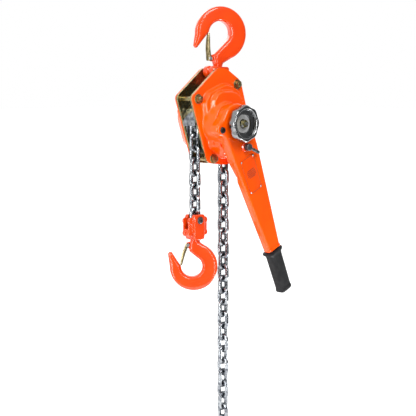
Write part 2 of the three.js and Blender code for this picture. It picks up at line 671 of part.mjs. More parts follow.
function handwheel() {
  const [front, back] = WHEEL_Y;
  const lobes = 8;
  const corners = [];
  for (let i = 0; i < lobes * 3; i += 1) {
    const angle = 360 * (i - 0.5) / (lobes * 3);
    const wave = Math.cos(THREE.MathUtils.degToRad(angle * lobes));
    corners.push(new THREE.Vector2(...polar(34 + 1.3 * wave, angle)));
  }
  return cut(
    union(slab(new THREE.Shape(corners), front, back, 2.5), rod(13.5, back - 1, CHANGE_GEAR_Y[0] - GAP)),
    rod(26, front - 5, front + 9),
    rod(18, front - 5, front + 12),
    rod(SHAFT_RADIUS + GAP, -120, -40, 0, 0, 16),
  );
}
node(leverFrame, 'handwheel', handwheel(), CHROME);
const nut = cut(union(hexagon(8, -97, -94.8)), rod(3.5 + GAP, -100, -60, 0, 0, 12));
node(leverFrame, 'handwheel_nut', nut, YELLOW_ZINC);

function grip() {
  const low = -LEVER_LENGTH - GRIP_LENGTH;
  const body = slab(rounded([[-15, low], [15, low], [15, -280], [-15, -280]], 5), -78.5, -56.5, 3);
  const collar = slab(rounded([[-20, -282], [20, -282], [21, -276.5], [-21, -276.5]], 2), -80, -55);
  return cut(union(body, collar), box(-9.3, 9.3, -73.3, -62.7, low + 5.7, 0));
}
node(leverFrame, 'grip', grip(), RUBBER);
const PLATE_FRONT = LEVER_FACE - GAP - 0.8;
const plateShape = rounded([[-22, -140], [12.5, -140], [15.5, -70], [-24, -70]], 3);
node(leverFrame, 'nameplate', slab(plateShape, PLATE_FRONT, PLATE_FRONT + 0.8), ORANGE);

// ---- Chain ---------------------------------------------------------------------------------------

const FULL_WIRE = 4.7;                    // a square section with about the round wire's area
const END_WIRE = 3.2;                     // slimmer where one run hooks into the next
const BOW = (CHAIN_WIDTH - CHAIN_WIRE) / 2;
const STRAIGHT = CHAIN_PITCH + CHAIN_WIRE - 2 * BOW;

// One link about its own centre, long in Z; flat links lie across the sheave
function link(wire, flat) {
  const sides = 6;
  const torus = new THREE.TorusGeometry(BOW, wire, 4, sides).rotateZ(Math.PI / sides);
  torus.scale(1 / Math.cos(Math.PI / sides), 1, 1);
  const position = torus.getAttribute('position');
  for (let i = 0; i < position.count; i += 1) {
    position.setY(i, position.getY(i) + Math.sign(position.getY(i)) * STRAIGHT / 2);
  }
  torus.rotateX(Math.PI / 2);
  return flat ? torus.rotateZ(Math.PI / 2) : torus;
}

// A link that is slim on one half, where another run hooks in: upper half if side is 1
function endLink(flat, side) {
  const slimHalf = side > 0 ? box(-20, 20, -20, 20, 0, 30) : box(-20, 20, -20, 20, -30, 0);
  return geometryOf(cut(union(link(FULL_WIRE, flat)), slimHalf).add(union(link(END_WIRE, flat))));
}

function runLink(i, count, flat) {
  if (i === 0) return endLink(flat, 1);
  return i === count - 1 ? endLink(flat, -1) : link(FULL_WIRE, flat);
}

// A straight fall of links that starts at the sheave's tangent point
function fall(x, count) {
  const links = [];
  for (let i = 0; i < count; i += 1) {
    links.push(runLink(i, count, i % 2 === 0).translate(x, 0, -CHAIN_PITCH * (i + 0.5)));
  }
  return union(...links);
}

function wrappedChain() {
  const links = [];
  const chordRadius = VERTEX_RADIUS * Math.cos(Math.PI / 10);
  for (let i = 0; i < WRAP_LINKS; i += 1) {
    const angle = 162 - 36 * i;
    const [x, z] = polar(chordRadius, angle);
    const turned = runLink(i, WRAP_LINKS, i % 2 === 1);
    links.push(turned.rotateY(THREE.MathUtils.degToRad(-angle)).translate(x, 0, z));
  }
  return union(...links);
}
node(sheaveFrame, 'sheave_chain', wrappedChain(), CHAIN_ZINC);
node(sheaveFrame, 'load_chain', fall(-VERTEX_RADIUS, LOAD_LINKS), CHAIN_ZINC);
node(sheaveFrame, 'tail_chain', fall(VERTEX_RADIUS, TAIL_LINKS), CHAIN_ZINC);

function endRing() {
  const torus = new THREE.TorusGeometry(RING_RADIUS, 3.5, 6, 16).rotateY(Math.PI / 2);
  const lastBow = -CHAIN_PITCH * TAIL_LINKS - CHAIN_WIRE / 2;
  return torus.translate(VERTEX_RADIUS, 0, lastBow + CHAIN_WIRE - RING_RADIUS);
}
node(sheaveFrame, 'end_ring', endRing(), CHAIN_ZINC);

// ---- Bottom yoke and hook --------------------------------------------------------------------------

const YOKE_X = SHEAVE_X - VERTEX_RADIUS;
const LAST_LINK_Z = SHEAVE_Z - CHAIN_PITCH * (LOAD_LINKS - 0.5);
const CHAIN_PIN_Z = LAST_LINK_Z - 6.2;
const YOKE_TOP = CHAIN_PIN_Z + 9;
const YOKE_BOTTOM = CHAIN_PIN_Z - 39;
const yokeFrame = place(hoist, YOKE_X, 0);

function bottomYokeHalf(front) {
  const [y0, y1] = front ? [-14.5, -GAP / 2] : [GAP / 2, 14.5];
  const [w0, w1] = front ? [-9, -GAP / 2] : [GAP / 2, 9];
  const body = rounded([[-14, YOKE_BOTTOM], [14, YOKE_BOTTOM], [15, YOKE_TOP], [-15, YOKE_TOP]], 5);
  const wings = rounded([
    [-24, YOKE_BOTTOM + 7], [24, YOKE_BOTTOM + 7], [24, YOKE_TOP - 7], [-24, YOKE_TOP - 7],
  ], 4);
  return cut(
    union(slab(body, y0, y1, 1.5), slab(wings, w0, w1)),
    box(-40, 40, -5.6, 5.6, CHAIN_PIN_Z - 16.5, YOKE_TOP + 9),
    upright(8.5 + GAP, YOKE_BOTTOM - 9, YOKE_BOTTOM + 12),
    upright(13 + GAP, YOKE_BOTTOM + 9.5, YOKE_BOTTOM + 18.5),
    rod(4.4 + GAP, -30, 30, 0, CHAIN_PIN_Z, 14),
    rod(2.8 + GAP, -30, 30, -19, CHAIN_PIN_Z - 24, 10),
    rod(2.8 + GAP, -30, 30, 19, CHAIN_PIN_Z - 24, 10),
  );
}
node(yokeFrame, 'bottom_yoke_front', bottomYokeHalf(true), HOOK_ORANGE);
node(yokeFrame, 'bottom_yoke_rear', bottomYokeHalf(false), HOOK_ORANGE);
const chainPin = union(
  rod(4.4, -15, 16, 0, CHAIN_PIN_Z, 14),
  rod(6, -17, -14.8, 0, CHAIN_PIN_Z, 14),
);
node(yokeFrame, 'chain_pin', chainPin, DARK_STEEL);
node(yokeFrame, 'bottom_yoke_rivet_left', rod(2.8, -9, 9, -19, CHAIN_PIN_Z - 24, 10), STEEL);
node(yokeFrame, 'bottom_yoke_rivet_right', rod(2.8, -9, 9, 19, CHAIN_PIN_Z - 24, 10), STEEL);

const lowerHookFrame = new THREE.Group();
lowerHookFrame.position.set(YOKE_X, 0, YOKE_BOTTOM + LOWER_HOOK.neckZ);
lowerHookFrame.rotation.z = -LOWER_HOOK_TURN;
hoist.add(lowerHookFrame);
addHook(lowerHookFrame, 'bottom', LOWER_HOOK, -1);

export default hoist;
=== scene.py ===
"""The looks of a lever chain hoist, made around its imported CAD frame.

Shapes are made in millimetres in the frame of the group that they belong to, and piece()
puts them in the row frame in metres. Outlines lie in X and Z, and depth runs along Y.
"""
import json
import math

import bmesh
import bpy
import numpy as np
from mathutils import Matrix, Vector


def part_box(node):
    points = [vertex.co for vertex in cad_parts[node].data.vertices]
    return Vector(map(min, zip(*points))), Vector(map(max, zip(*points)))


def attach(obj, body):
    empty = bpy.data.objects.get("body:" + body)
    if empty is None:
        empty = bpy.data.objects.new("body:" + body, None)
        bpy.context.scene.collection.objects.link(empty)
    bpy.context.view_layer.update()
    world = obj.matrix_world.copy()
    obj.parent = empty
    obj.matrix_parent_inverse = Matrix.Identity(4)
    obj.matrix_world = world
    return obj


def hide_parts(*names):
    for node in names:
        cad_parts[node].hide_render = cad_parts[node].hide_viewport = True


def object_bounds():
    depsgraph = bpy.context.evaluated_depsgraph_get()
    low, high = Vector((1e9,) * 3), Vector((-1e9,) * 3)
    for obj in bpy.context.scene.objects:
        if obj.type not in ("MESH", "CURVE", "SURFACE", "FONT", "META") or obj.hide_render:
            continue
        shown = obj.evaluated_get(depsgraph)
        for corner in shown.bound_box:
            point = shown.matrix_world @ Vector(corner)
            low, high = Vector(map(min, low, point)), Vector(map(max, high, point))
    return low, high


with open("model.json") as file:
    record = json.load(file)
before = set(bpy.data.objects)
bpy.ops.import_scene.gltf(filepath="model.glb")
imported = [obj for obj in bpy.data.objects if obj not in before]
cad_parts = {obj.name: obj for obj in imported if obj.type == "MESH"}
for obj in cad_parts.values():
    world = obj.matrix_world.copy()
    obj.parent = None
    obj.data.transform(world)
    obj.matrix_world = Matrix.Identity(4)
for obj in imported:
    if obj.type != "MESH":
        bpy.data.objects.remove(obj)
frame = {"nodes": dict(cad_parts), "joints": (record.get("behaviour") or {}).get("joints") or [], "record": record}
CAD_BOX = [list(corner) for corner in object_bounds()]

MM = 0.001
JOINTS = {joint["name"]: joint for joint in frame["joints"]}
NODES = frame["nodes"]


def joint_place(name):
    return Vector(JOINTS[name]["pos_m"]) / MM


def turned(place, about_y=0.0, about_z=0.0):
    """A frame at a place, turned by degrees about Y, then about Z."""
    spin = Matrix.Rotation(math.radians(about_z), 4, "Z") @ Matrix.Rotation(math.radians(about_y), 4, "Y")
    return Matrix.Translation(place) @ spin


# Frames of the groups, from the joints
SHEAVE_AXIS = joint_place("sheave_turn")
CHAIN_PIN = joint_place("bottom_yoke_swing")
TOP_PIN = joint_place("frame_swing")
BODY_TILT = 14.7
LEVER_LEAN = 23.4
LOWER_NECK = 72
ROW = Matrix.Identity(4)
SHEAVE = turned(SHEAVE_AXIS)
BODY = turned(SHEAVE_AXIS, about_y=-BODY_TILT)
LEVER = turned(SHEAVE_AXIS, about_y=-LEVER_LEAN)
SELECTOR = turned(joint_place("selector_turn"), about_y=-LEVER_LEAN - 45)
TOP_HOOK = turned((0, 0, 0), about_z=-22)
YOKE = turned(CHAIN_PIN)
LOWER_HOOK = turned(joint_place("bottom_swivel") - Vector((0, 0, LOWER_NECK)), about_z=-44.5)

# ---- Camera, light and stage ---------------------------------------------------------------------

CAMERA_LENS = 86.5
CAMERA_AZIMUTH = math.radians(44.5)
CAMERA_DROP = math.radians(7.01)
CAMERA_FROM_SHEAVE = Vector((-1362.2, -1382.7, 71.8))
FLOOR_BELOW = 20


def add_camera():
    data = bpy.data.cameras.new("camera")
    data.lens = CAMERA_LENS
    data.sensor_width = 36
    data.clip_end = 100
    camera = bpy.data.objects.new("camera", data)
    camera.location = (SHEAVE_AXIS + CAMERA_FROM_SHEAVE) * MM
    forward = Vector((
        math.sin(CAMERA_AZIMUTH) * math.cos(CAMERA_DROP),
        math.cos(CAMERA_AZIMUTH) * math.cos(CAMERA_DROP),
        -math.sin(CAMERA_DROP),
    ))
    camera.rotation_euler = forward.to_track_quat("-Z", "Y").to_euler()
    bpy.context.scene.collection.objects.link(camera)
    bpy.context.scene.camera = camera


def add_softbox(name, place, aim, size, power):
    data = bpy.data.lights.new(name, "AREA")
    data.shape = "RECTANGLE"
    data.size = size[0]
    data.size_y = size[1]
    data.energy = power
    light = bpy.data.objects.new(name, data)
    light.location = place
    light.rotation_euler = (Vector(aim) - Vector(place)).to_track_quat("-Z", "Y").to_euler()
    light.visible_camera = False
    bpy.context.scene.collection.objects.link(light)


def add_world():
    """White behind and beside the hoist, dark in front, so that faces turned to the front stay saturated."""
    world = bpy.data.worlds.new("studio")
    bpy.context.scene.world = world
    world.use_nodes = True
    nodes = world.node_tree.nodes
    links = world.node_tree.links
    coords = nodes.new("ShaderNodeTexCoord")
    parts = nodes.new("ShaderNodeSeparateXYZ")
    ramp = nodes.new("ShaderNodeValToRGB")
    stops = [(0.0, 0.12), (0.3, 0.16), (0.42, 1.0), (1.0, 1.0)]
    ramp.color_ramp.elements.remove(ramp.color_ramp.elements[1])
    for i, (position, grey) in enumerate(stops):
        element = ramp.color_ramp.elements[0] if i == 0 else ramp.color_ramp.elements.new(position)
        element.position = position
        element.color = (grey, grey, grey, 1)
    depth = nodes.new("ShaderNodeMapRange")
    depth.inputs["From Min"].default_value = -1
    links.new(coords.outputs["Generated"], parts.inputs["Vector"])
    links.new(parts.outputs["Y"], depth.inputs["Value"])
    links.new(depth.outputs["Result"], ramp.inputs["Fac"])
    links.new(ramp.outputs["Color"], nodes["Background"].inputs["Color"])
    nodes["Background"].inputs["Strength"].default_value = 1.0


def add_floor():
    near, far = -0.7, 25
    z = CAD_BOX[0][2] - FLOOR_BELOW * MM
    corners = [(near, near, z), (far, near, z), (far, far, z), (near, far, z)]
    mesh = bpy.data.meshes.new("floor")
    mesh.from_pydata(corners, [], [(0, 1, 2, 3)])
    floor = bpy.data.objects.new("floor", mesh)
    bpy.context.scene.collection.objects.link(floor)
    paint = bpy.data.materials.new("floor_paint")
    paint.use_nodes = True
    shader = paint.node_tree.nodes["Principled BSDF"]
    shader.inputs["Base Color"].default_value = (0.95, 0.95, 0.95, 1)
    shader.inputs["Roughness"].default_value = 0.9
    shader.inputs["Emission Color"].default_value = (1, 1, 1, 1)
    shader.inputs["Emission Strength"].default_value = 0.5
    mesh.materials.append(paint)


bpy.context.scene.view_settings.view_transform = "Standard"
add_camera()
add_world()
add_floor()
MIDDLE = (0, 0, -0.35)
add_softbox("front", (-0.7, -1.7, 1.3), MIDDLE, (1.3, 1.0), 48)
add_softbox("key", (-1.8, -0.25, -0.25), MIDDLE, (0.2, 1.8), 22)
add_softbox("fill", (-0.76, -1.64, -0.25), MIDDLE, (0.1, 1.8), 9)
add_softbox("bowl", (0.32, -0.05, -0.74), (0, 0, -0.03), (0.5, 0.12), 3)
add_softbox("back", (0.6, 1.8, 0.9), MIDDLE, (1.2, 1.2), 8)

# ---- Materials -----------------------------------------------------------------------------------


def look(name, colours, patch, roughness, grain, bump=0.0, metallic=0.0, coat=0.0, coat_roughness=0.05,
         specular=0.5, edge=1.0):
    """A procedural finish: colours mixed in patches, roughness and bump from a fine grain.

    patch and grain are the sizes of their features in millimetres. edge below 1 darkens a metal's reflection at
    grazing angles, a painted shade along its edges.
    """
    finish = bpy.data.materials.new(name)
    finish.use_nodes = True
    nodes = finish.node_tree.nodes
    links = finish.node_tree.links
    shader = nodes["Principled BSDF"]
    shader.inputs["Metallic"].default_value = metallic
    shader.inputs["Specular IOR Level"].default_value = specular
    # A specular tint below 1 darkens the reflection at grazing angles: painted shade along the edges.
    shader.inputs["Specular Tint"].default_value = (edge, edge, edge, 1)
    shader.inputs["Coat Weight"].default_value = coat
    shader.inputs["Coat Roughness"].default_value = coat_roughness
    coords = nodes.new("ShaderNodeTexCoord")

    def noise(size, detail):
        texture = nodes.new("ShaderNodeTexNoise")
        texture.inputs["Scale"].default_value = 1 / (size * MM)
        texture.inputs["Detail"].default_value = detail
        links.new(coords.outputs["Object"], texture.inputs["Vector"])
        return texture.outputs["Fac"]

    patches = noise(patch, 2)
    ramp = nodes.new("ShaderNodeValToRGB")
    ramp.color_ramp.elements.remove(ramp.color_ramp.elements[1])
    for i, colour in enumerate(colours):
        position = 0.35 + 0.3 * i / max(len(colours) - 1, 1)
        element = ramp.color_ramp.elements[0] if i == 0 else ramp.color_ramp.elements.new(position)
        element.position = position
        element.color = (*colour, 1)
    links.new(patches, ramp.inputs["Fac"])
    links.new(ramp.outputs["Color"], shader.inputs["Base Color"])
    fine = noise(grain, 3)
    spread = nodes.new("ShaderNodeMapRange")
    spread.inputs["To Min"].default_value = roughness[0]
    spread.inputs["To Max"].default_value = roughness[1]
    links.new(fine, spread.inputs["Value"])
    links.new(spread.outputs["Result"], shader.inputs["Roughness"])
    if bump:
        relief = nodes.new("ShaderNodeBump")
        relief.inputs["Strength"].default_value = 0.5
        relief.inputs["Distance"].default_value = bump * MM
        links.new(fine, relief.inputs["Height"])
        links.new(relief.outputs["Normal"], shader.inputs["Normal"])
    return finish


LOOKS = {
    "cover_paint": look(
        "cover_paint", [(0.88, 0.08, 0.0), (0.92, 0.09, 0.0)], 60, (0.2, 0.28), 2.2,
        bump=0.03, coat=0.6, specular=0.15,
    ),
    "hook_paint": look(
        "hook_paint", [(0.66, 0.042, 0.0), (0.72, 0.052, 0.001)], 30, (0.28, 0.4), 3.2,
        bump=0.1, coat=0.9, coat_roughness=0.08, specular=0.2,
    ),
    "yellow_zinc": look(
        "yellow_zinc", [(0.2, 0.13, 0.07), (0.38, 0.29, 0.12), (0.2, 0.22, 0.13), (0.46, 0.37, 0.19)], 9,
        (0.2, 0.38), 1.2, bump=0.02, metallic=1.0,
    ),
    # chain_zinc: edge=0.15 paints shade along the link edges by darkening their reflection there.
    "chain_zinc": look(
        "chain_zinc", [(0.14, 0.15, 0.17), (0.4, 0.42, 0.44)], 7, (0.16, 0.32), 1.5, bump=0.05, metallic=1.0,
        edge=0.15,
    ),
    "machined_steel": look(
        "machined_steel", [(0.42, 0.44, 0.45), (0.56, 0.57, 0.58)], 12, (0.25, 0.4), 0.8, bump=0.02,
        metallic=1.0,
    ),
    # latch_sheet: edge=0.2 paints shade along the channel edges by darkening their reflection there.
    "latch_sheet": look(
        "latch_sheet", [(0.16, 0.12, 0.05), (0.4, 0.33, 0.19)], 8, (0.24, 0.38), 1.0, bump=0.02, metallic=1.0,
        edge=0.2,
    ),
    "chrome": look(
        "chrome", [(0.22, 0.225, 0.23), (0.32, 0.325, 0.33)], 20, (0.12, 0.22), 1.5, metallic=1.0,
    ),
    "grey_steel": look(
        "grey_steel", [(0.06, 0.063, 0.067), (0.1, 0.104, 0.108)], 6, (0.32, 0.48), 0.8,
        bump=0.03, metallic=0.7,
    ),
    "black_screw": look(
        "black_screw", [(0.012, 0.012, 0.013), (0.02, 0.02, 0.022)], 4, (0.28, 0.42), 0.7, bump=0.02,
        metallic=0.4,
    ),
    "friction_lining": look(
        "friction_lining", [(0.13, 0.09, 0.06), (0.2, 0.14, 0.09)], 2, (0.8, 0.95), 0.6, bump=0.08,
    ),
    "grip_rubber": look(
        "grip_rubber", [(0.012, 0.012, 0.013), (0.02, 0.02, 0.021)], 10, (0.42, 0.62), 0.9, bump=0.08,
        specular=0.12,
    ),
}
DARK_ZINC_LOOK = look(
    "dark_zinc", [(0.2, 0.13, 0.06), (0.42, 0.31, 0.13), (0.2, 0.2, 0.13)], 7, (0.3, 0.5), 1.2, bump=0.02,
    metallic=1.0,
)
SATIN_LOOK = look(
    "satin_steel", [(0.62, 0.62, 0.62), (0.74, 0.74, 0.74)], 9, (0.42, 0.6), 0.8, bump=0.02, metallic=0.85,
)
PLATE_LINE_LOOK = look(
    "nameplate_line", [(0.42, 0.075, 0.012), (0.52, 0.1, 0.016)], 20, (0.34, 0.46), 0.8, bump=0.02,
    metallic=0.3,
)
PLATE_RULE_LOOK = look(
    "nameplate_rule", [(0.16, 0.03, 0.012), (0.24, 0.045, 0.016)], 20, (0.4, 0.5), 0.8, bump=0.02,
)
NAMEPLATE_LOOK = look(
    "nameplate_print", [(0.8, 0.066, 0.001), (0.88, 0.076, 0.001)], 25, (0.3, 0.4), 0.8, bump=0.02,
    specular=0.2,
)

# ---- Outlines and meshes, in millimetres ---------------------------------------------------------


def polar(radius, degrees):
    angle = math.radians(degrees)
    return (radius * math.cos(angle), radius * math.sin(angle))


def arc(centre, radius, start, end, steps):
    points = []
    for i in range(steps + 1):
        x, z = polar(radius, start + (end - start) * i / steps)
        points.append((centre[0] + x, centre[1] + z))
    return points


def circle(radius, centre=(0, 0), steps=32):
    return arc(centre, radius, 0, 360 - 360 / steps, steps - 1)


def along(points, count):
    """Evenly spaced points along an open line."""
    points = [Vector(p) for p in points]
    lengths = [0.0]
    for a, b in zip(points, points[1:]):
        lengths.append(lengths[-1] + (b - a).length)
    result = []
    for i in range(count):
        want = lengths[-1] * i / (count - 1)
        k = max(j for j in range(len(points) - 1) if lengths[j] <= want + 1e-9)
        share = (want - lengths[k]) / (lengths[k + 1] - lengths[k])
        result.append(points[k].lerp(points[k + 1], min(share, 1)))
    return result


def rounded(corners, radii, steps=7):
    """A closed outline with each corner drawn in by its own radius."""
    points = [Vector(corner) for corner in corners]
    outline = []
    for i, point in enumerate(points):
        radius = radii[i] if isinstance(radii, (list, tuple)) else radii
        before = points[i - 1] - point
        after = points[(i + 1) % len(points)] - point
        reach = min(radius, before.length / 2.2, after.length / 2.2)
        start = point + before.normalized() * reach
        end = point + after.normalized() * reach
        for k in range(steps + 1):
            t = k / steps
            outline.append(tuple((1 - t) ** 2 * start + 2 * t * (1 - t) * point + t * t * end))
    return outline


def smoothed(corners, rounds=3):
    """A closed outline with its corners cut off again and again."""
    points = [Vector(corner) for corner in corners]
    for _ in range(rounds):
        cut = []
        for i, point in enumerate(points):
            following = points[(i + 1) % len(points)]
            cut.append(point.lerp(following, 0.25))
            cut.append(point.lerp(following, 0.75))
        points = cut
    return [tuple(point) for point in points]


def skin(rows, loop_rows=False, loop_columns=False, caps=False):
    """A surface over rows of points."""
    width = len(rows[0])
    vertices = [point for row in rows for point in row]
    faces = []
    row_count = len(rows) if loop_rows else len(rows) - 1
    column_count = width if loop_columns else width - 1
    for i in range(row_count):
        here = i * width
        following = (i + 1) % len(rows) * width
        for j in range(column_count):
            k = (j + 1) % width
            faces.append((here + j, here + k, following + k, following + j))
    if caps:
        faces.append(tuple(range(width))[::-1])
        faces.append(tuple(range((len(rows) - 1) * width, len(rows) * width)))
    mesh = bpy.data.meshes.new("skin")
    mesh.from_pydata([tuple(v) for v in vertices], [], faces)
    return mesh


def lathe(profile, steps=48, closed=True, centre=(0, 0), reshape=None):
    """Turns a profile of (radius, y) about Y; reshape(radius, y, degrees) may change the radius."""
    rows = []
    for i in range(steps):
        degrees = 360 * i / steps
        row = []
        for radius, y in profile:
            r = reshape(radius, y, degrees) if reshape else radius
            x, z = polar(r, degrees)
            row.append((centre[0] + x, y, centre[1] + z))
        rows.append(row)
    return skin(rows, loop_rows=True, loop_columns=closed)


def turned_bar(radius, y0, y1, edge=0.6, centre=(0, 0), steps=32):
    """A round bar along Y with its ends chamfered."""
    profile = [
        (0, y0), (radius - edge, y0), (radius, y0 + edge),
        (radius, y1 - edge), (radius - edge, y1), (0, y1),
    ]
    return lathe(profile, steps, closed=False, centre=centre)


def upright_bar(radius, z0, z1, steps=32):
    rows = [[(*polar(radius, 360 * i / steps), z) for i in range(steps)] for z in (z0, z1)]
    return skin(rows, loop_columns=True, caps=True)


def hexagon_bar(corner, y0, y1, centre=(0, 0), bore=0.0, turn=0.0):
    """A hexagon nut or head: the corners are chamfered at both ends."""
    flat = corner * math.cos(math.pi / 6)
    edge = (corner - flat) * 0.75

    def hexagon(radius, y, degrees):
        if radius <= bore + 0.6:
            return radius
        offset = (degrees - turn) % 60 - 30
        side = flat / math.cos(math.radians(offset))
        return min(side * radius / corner, radius) if radius < flat else min(side, radius)

    slim = flat - 0.1
    profile = [
        (bore, y0), (slim, y0), (corner - edge * 0.5, y0 + edge * 0.4), (corner, y0 + edge),
        (corner, y1 - edge), (corner - edge * 0.5, y1 - edge * 0.4), (slim, y1), (bore, y1),
    ]
    return lathe(profile, 72, closed=bore > 0, centre=centre, reshape=hexagon)


def tube(points, radius, sides=12, closed=False):
    """A round wire along a line of points; radius may be a function of the share along it."""
    points = [Vector(p) for p in points]
    count = len(points)
    rows = []
    across = None
    for i, point in enumerate(points):
        before = points[i - 1] if closed or i > 0 else point
        after = points[(i + 1) % count] if closed or i < count - 1 else point
        direction = (after - before).normalized()
        if across is None:
            across = direction.orthogonal().normalized()
        across = (across - direction * across.dot(direction)).normalized()
        other = direction.cross(across)
        size = radius(i / count) if callable(radius) else radius
        row = []
        for k in range(sides):
            c, s = polar(size, 360 * k / sides)
            row.append(point + across * c + other * s)
        rows.append(row)
    return skin(rows, loop_rows=closed, loop_columns=True, caps=not closed)


def plate(outline, y0, y1, edge=0.4, holes=(), segments=2):
    """A flat plate between two depths, its edges rounded, with holes through it."""
    curve = bpy.data.curves.new("plate", "CURVE")
    curve.dimensions = "2D"
    curve.fill_mode = "BOTH"
    curve.extrude = (y1 - y0) / 2 - edge
    curve.bevel_depth = edge
    curve.bevel_resolution = segments
    curve.offset = -edge
    for loop in (outline, *holes):
        spline = curve.splines.new("POLY")
        spline.points.add(len(loop) - 1)
        for target, (x, z) in zip(spline.points, loop):
            target.co = (x, z, 0, 1)
        spline.use_cyclic_u = True
    holder = bpy.data.objects.new("plate", curve)
    mesh = bpy.data.meshes.new_from_object(holder)
    bpy.data.objects.remove(holder)
    bpy.data.curves.remove(curve)
    upright = Matrix.Translation((0, (y0 + y1) / 2, 0)) @ Matrix.Rotation(math.pi / 2, 4, "X")
    mesh.transform(upright)
    return mesh


def shell(outline, face, rim, edge, holes=()):
    """A pressed shell without thickness: a face with rounded edges and walls that end at the rim."""
    past = rim + math.copysign(edge + 2, rim - face)
    mesh = plate(outline, min(face, past), max(face, past), edge, holes, segments=5)
    work = bmesh.new()
    work.from_mesh(mesh)
    bmesh.ops.remove_doubles(work, verts=work.verts, dist=1e-3)
    geometry = list(work.verts) + list(work.edges) + list(work.faces)
    away = Vector((0, math.copysign(1, rim - face), 0))
    bmesh.ops.bisect_plane(work, geom=geometry, plane_co=(0, rim, 0), plane_no=away, clear_outer=True)
    work.to_mesh(mesh)
    work.free()
    return mesh


def inside_by(outline, x, z):
    """How far points lie inside an outline, negative outside it."""
    corners = np.array(outline, float)
    following = np.roll(corners, -1, axis=0)
    nearest = np.full(x.shape, 1e9)
    inside = np.zeros(x.shape, bool)
    for (ax, az), (bx, bz) in zip(corners, following):
        length = max((bx - ax) ** 2 + (bz - az) ** 2, 1e-9)
        share = np.clip(((x - ax) * (bx - ax) + (z - az) * (bz - az)) / length, 0, 1)
        nearest = np.minimum(nearest, np.hypot(x - ax - share * (bx - ax), z - az - share * (bz - az)))
        if az != bz:
            crossing = (az > z) != (bz > z)
            inside ^= crossing & (x < (bx - ax) * (z - az) / (bz - az) + ax)
    return np.where(inside, nearest, -nearest)


def step(value, start, end):
    """Rises smoothly from 0 to 1 between two values."""
    t = np.clip((value - start) / (end - start), 0, 1)
    return t * t * (3 - 2 * t)


def stamping(outline, hole, height, side):
    """Pressed sheet from a round hole out to the outline; height(x, z) is its depth on that side of Y."""
    rim = [p for p in along([*outline, outline[0]], 221)][:-1]
    rings = 64
    x = np.empty((len(rim), rings + 1))
    z = np.empty_like(x)
    for i, point in enumerate(rim):
        direction = point.normalized()
        for k in range(rings + 1):
            spot = (direction * hole).lerp(point, k / rings)
            x[i, k], z[i, k] = spot
    depth = side * height(x, z)
    rows = [[(x[i, k], depth[i, k], z[i, k]) for k in range(rings + 1)] for i in range(len(rim))]
    return skin(rows, loop_rows=True)


# ---- Pieces --------------------------------------------------------------------------------------


def piece(
    name, meshes, place, body, nodes=(), finish="", paint=None, holes=(), voxel=0.0, smoothing=0,
    wall=0.0, facing=None, crease=38, flat=False,
):
    """Joins meshes, places them in metres, gives them to a body and lets them stand for CAD nodes.

    holes are cut out; voxel fuses the meshes into one forging, which smoothing then softens;
    wall is the thickness of pressed sheet whose outer side faces along facing.
    """
    def joined(parts):
        work = bmesh.new()
        for part in parts:
            work.from_mesh(part)
            bpy.data.meshes.remove(part)
        bmesh.ops.remove_doubles(work, verts=work.verts, dist=2e-4)
        bmesh.ops.transform(work, matrix=place, verts=work.verts)
        bmesh.ops.scale(work, vec=(MM, MM, MM), verts=work.verts)
        bmesh.ops.recalc_face_normals(work, faces=work.faces)
        mesh = bpy.data.meshes.new(name)
        if facing is not None:
            total = sum((f.normal * f.calc_area() for f in work.faces), Vector())
            if total.dot(facing) < 0:
                bmesh.ops.reverse_faces(work, faces=work.faces)
        work.to_mesh(mesh)
        work.free()
        return mesh

    obj = bpy.data.objects.new(name, joined(meshes))
    bpy.context.scene.collection.objects.link(obj)
    cutter = None
    if holes:
        cutter = bpy.data.objects.new(name + "_holes", joined(holes))
        bpy.context.scene.collection.objects.link(cutter)
        boolean = obj.modifiers.new("holes", "BOOLEAN")
        boolean.operation = "DIFFERENCE"
        boolean.solver = "EXACT"
        boolean.use_self = True
        boolean.object = cutter
    if wall:
        solidify = obj.modifiers.new("wall", "SOLIDIFY")
        solidify.thickness = wall * MM
        solidify.offset = -1
    if voxel:
        remesh = obj.modifiers.new("fuse", "REMESH")
        remesh.mode = "VOXEL"
        remesh.voxel_size = voxel * MM
    if smoothing:
        soften = obj.modifiers.new("soften", "SMOOTH")
        soften.factor = 0.5
        soften.iterations = smoothing
    graph = bpy.context.evaluated_depsgraph_get()
    final = bpy.data.meshes.new_from_object(obj.evaluated_get(graph))
    obj.modifiers.clear()
    obj.data = final
    final.name = name
    if cutter:
        bpy.data.objects.remove(cutter)
    final.shade_smooth()
    final.set_sharp_from_angle(angle=math.radians(crease))
    if flat:
        weights = obj.modifiers.new("flat_faces", "WEIGHTED_NORMAL")
        weights.keep_sharp = True
    final.materials.clear()
    final.materials.append(paint or LOOKS[finish])
    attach(obj, body)
    if nodes:
        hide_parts(*nodes)
    return obj


# ---- Hooks ---------------------------------------------------------------------------------------

HOOKS = {
    "top": dict(
        side=1, inner=21.6, outer=52, inner_x=2.2, outer_x=5, outer_top=28.4, thick=22, neck=-86,
        tip=(-46, -47), lug=(-17, -71), place=TOP_HOOK, hook_body="hook", latch_body="top_latch",
    ),
    "bottom": dict(
        side=-1, inner=20.6, outer=46.6, inner_x=-6.4, outer_x=-2.7, outer_top=26.8, thick=20, neck=-72,
        tip=(-47.8, -44), lug=(-13.5, -62), place=LOWER_HOOK, hook_body="bottom_hook",
        latch_body="bottom_latch",
    ),
}


BOWL_BEVEL = 4.2


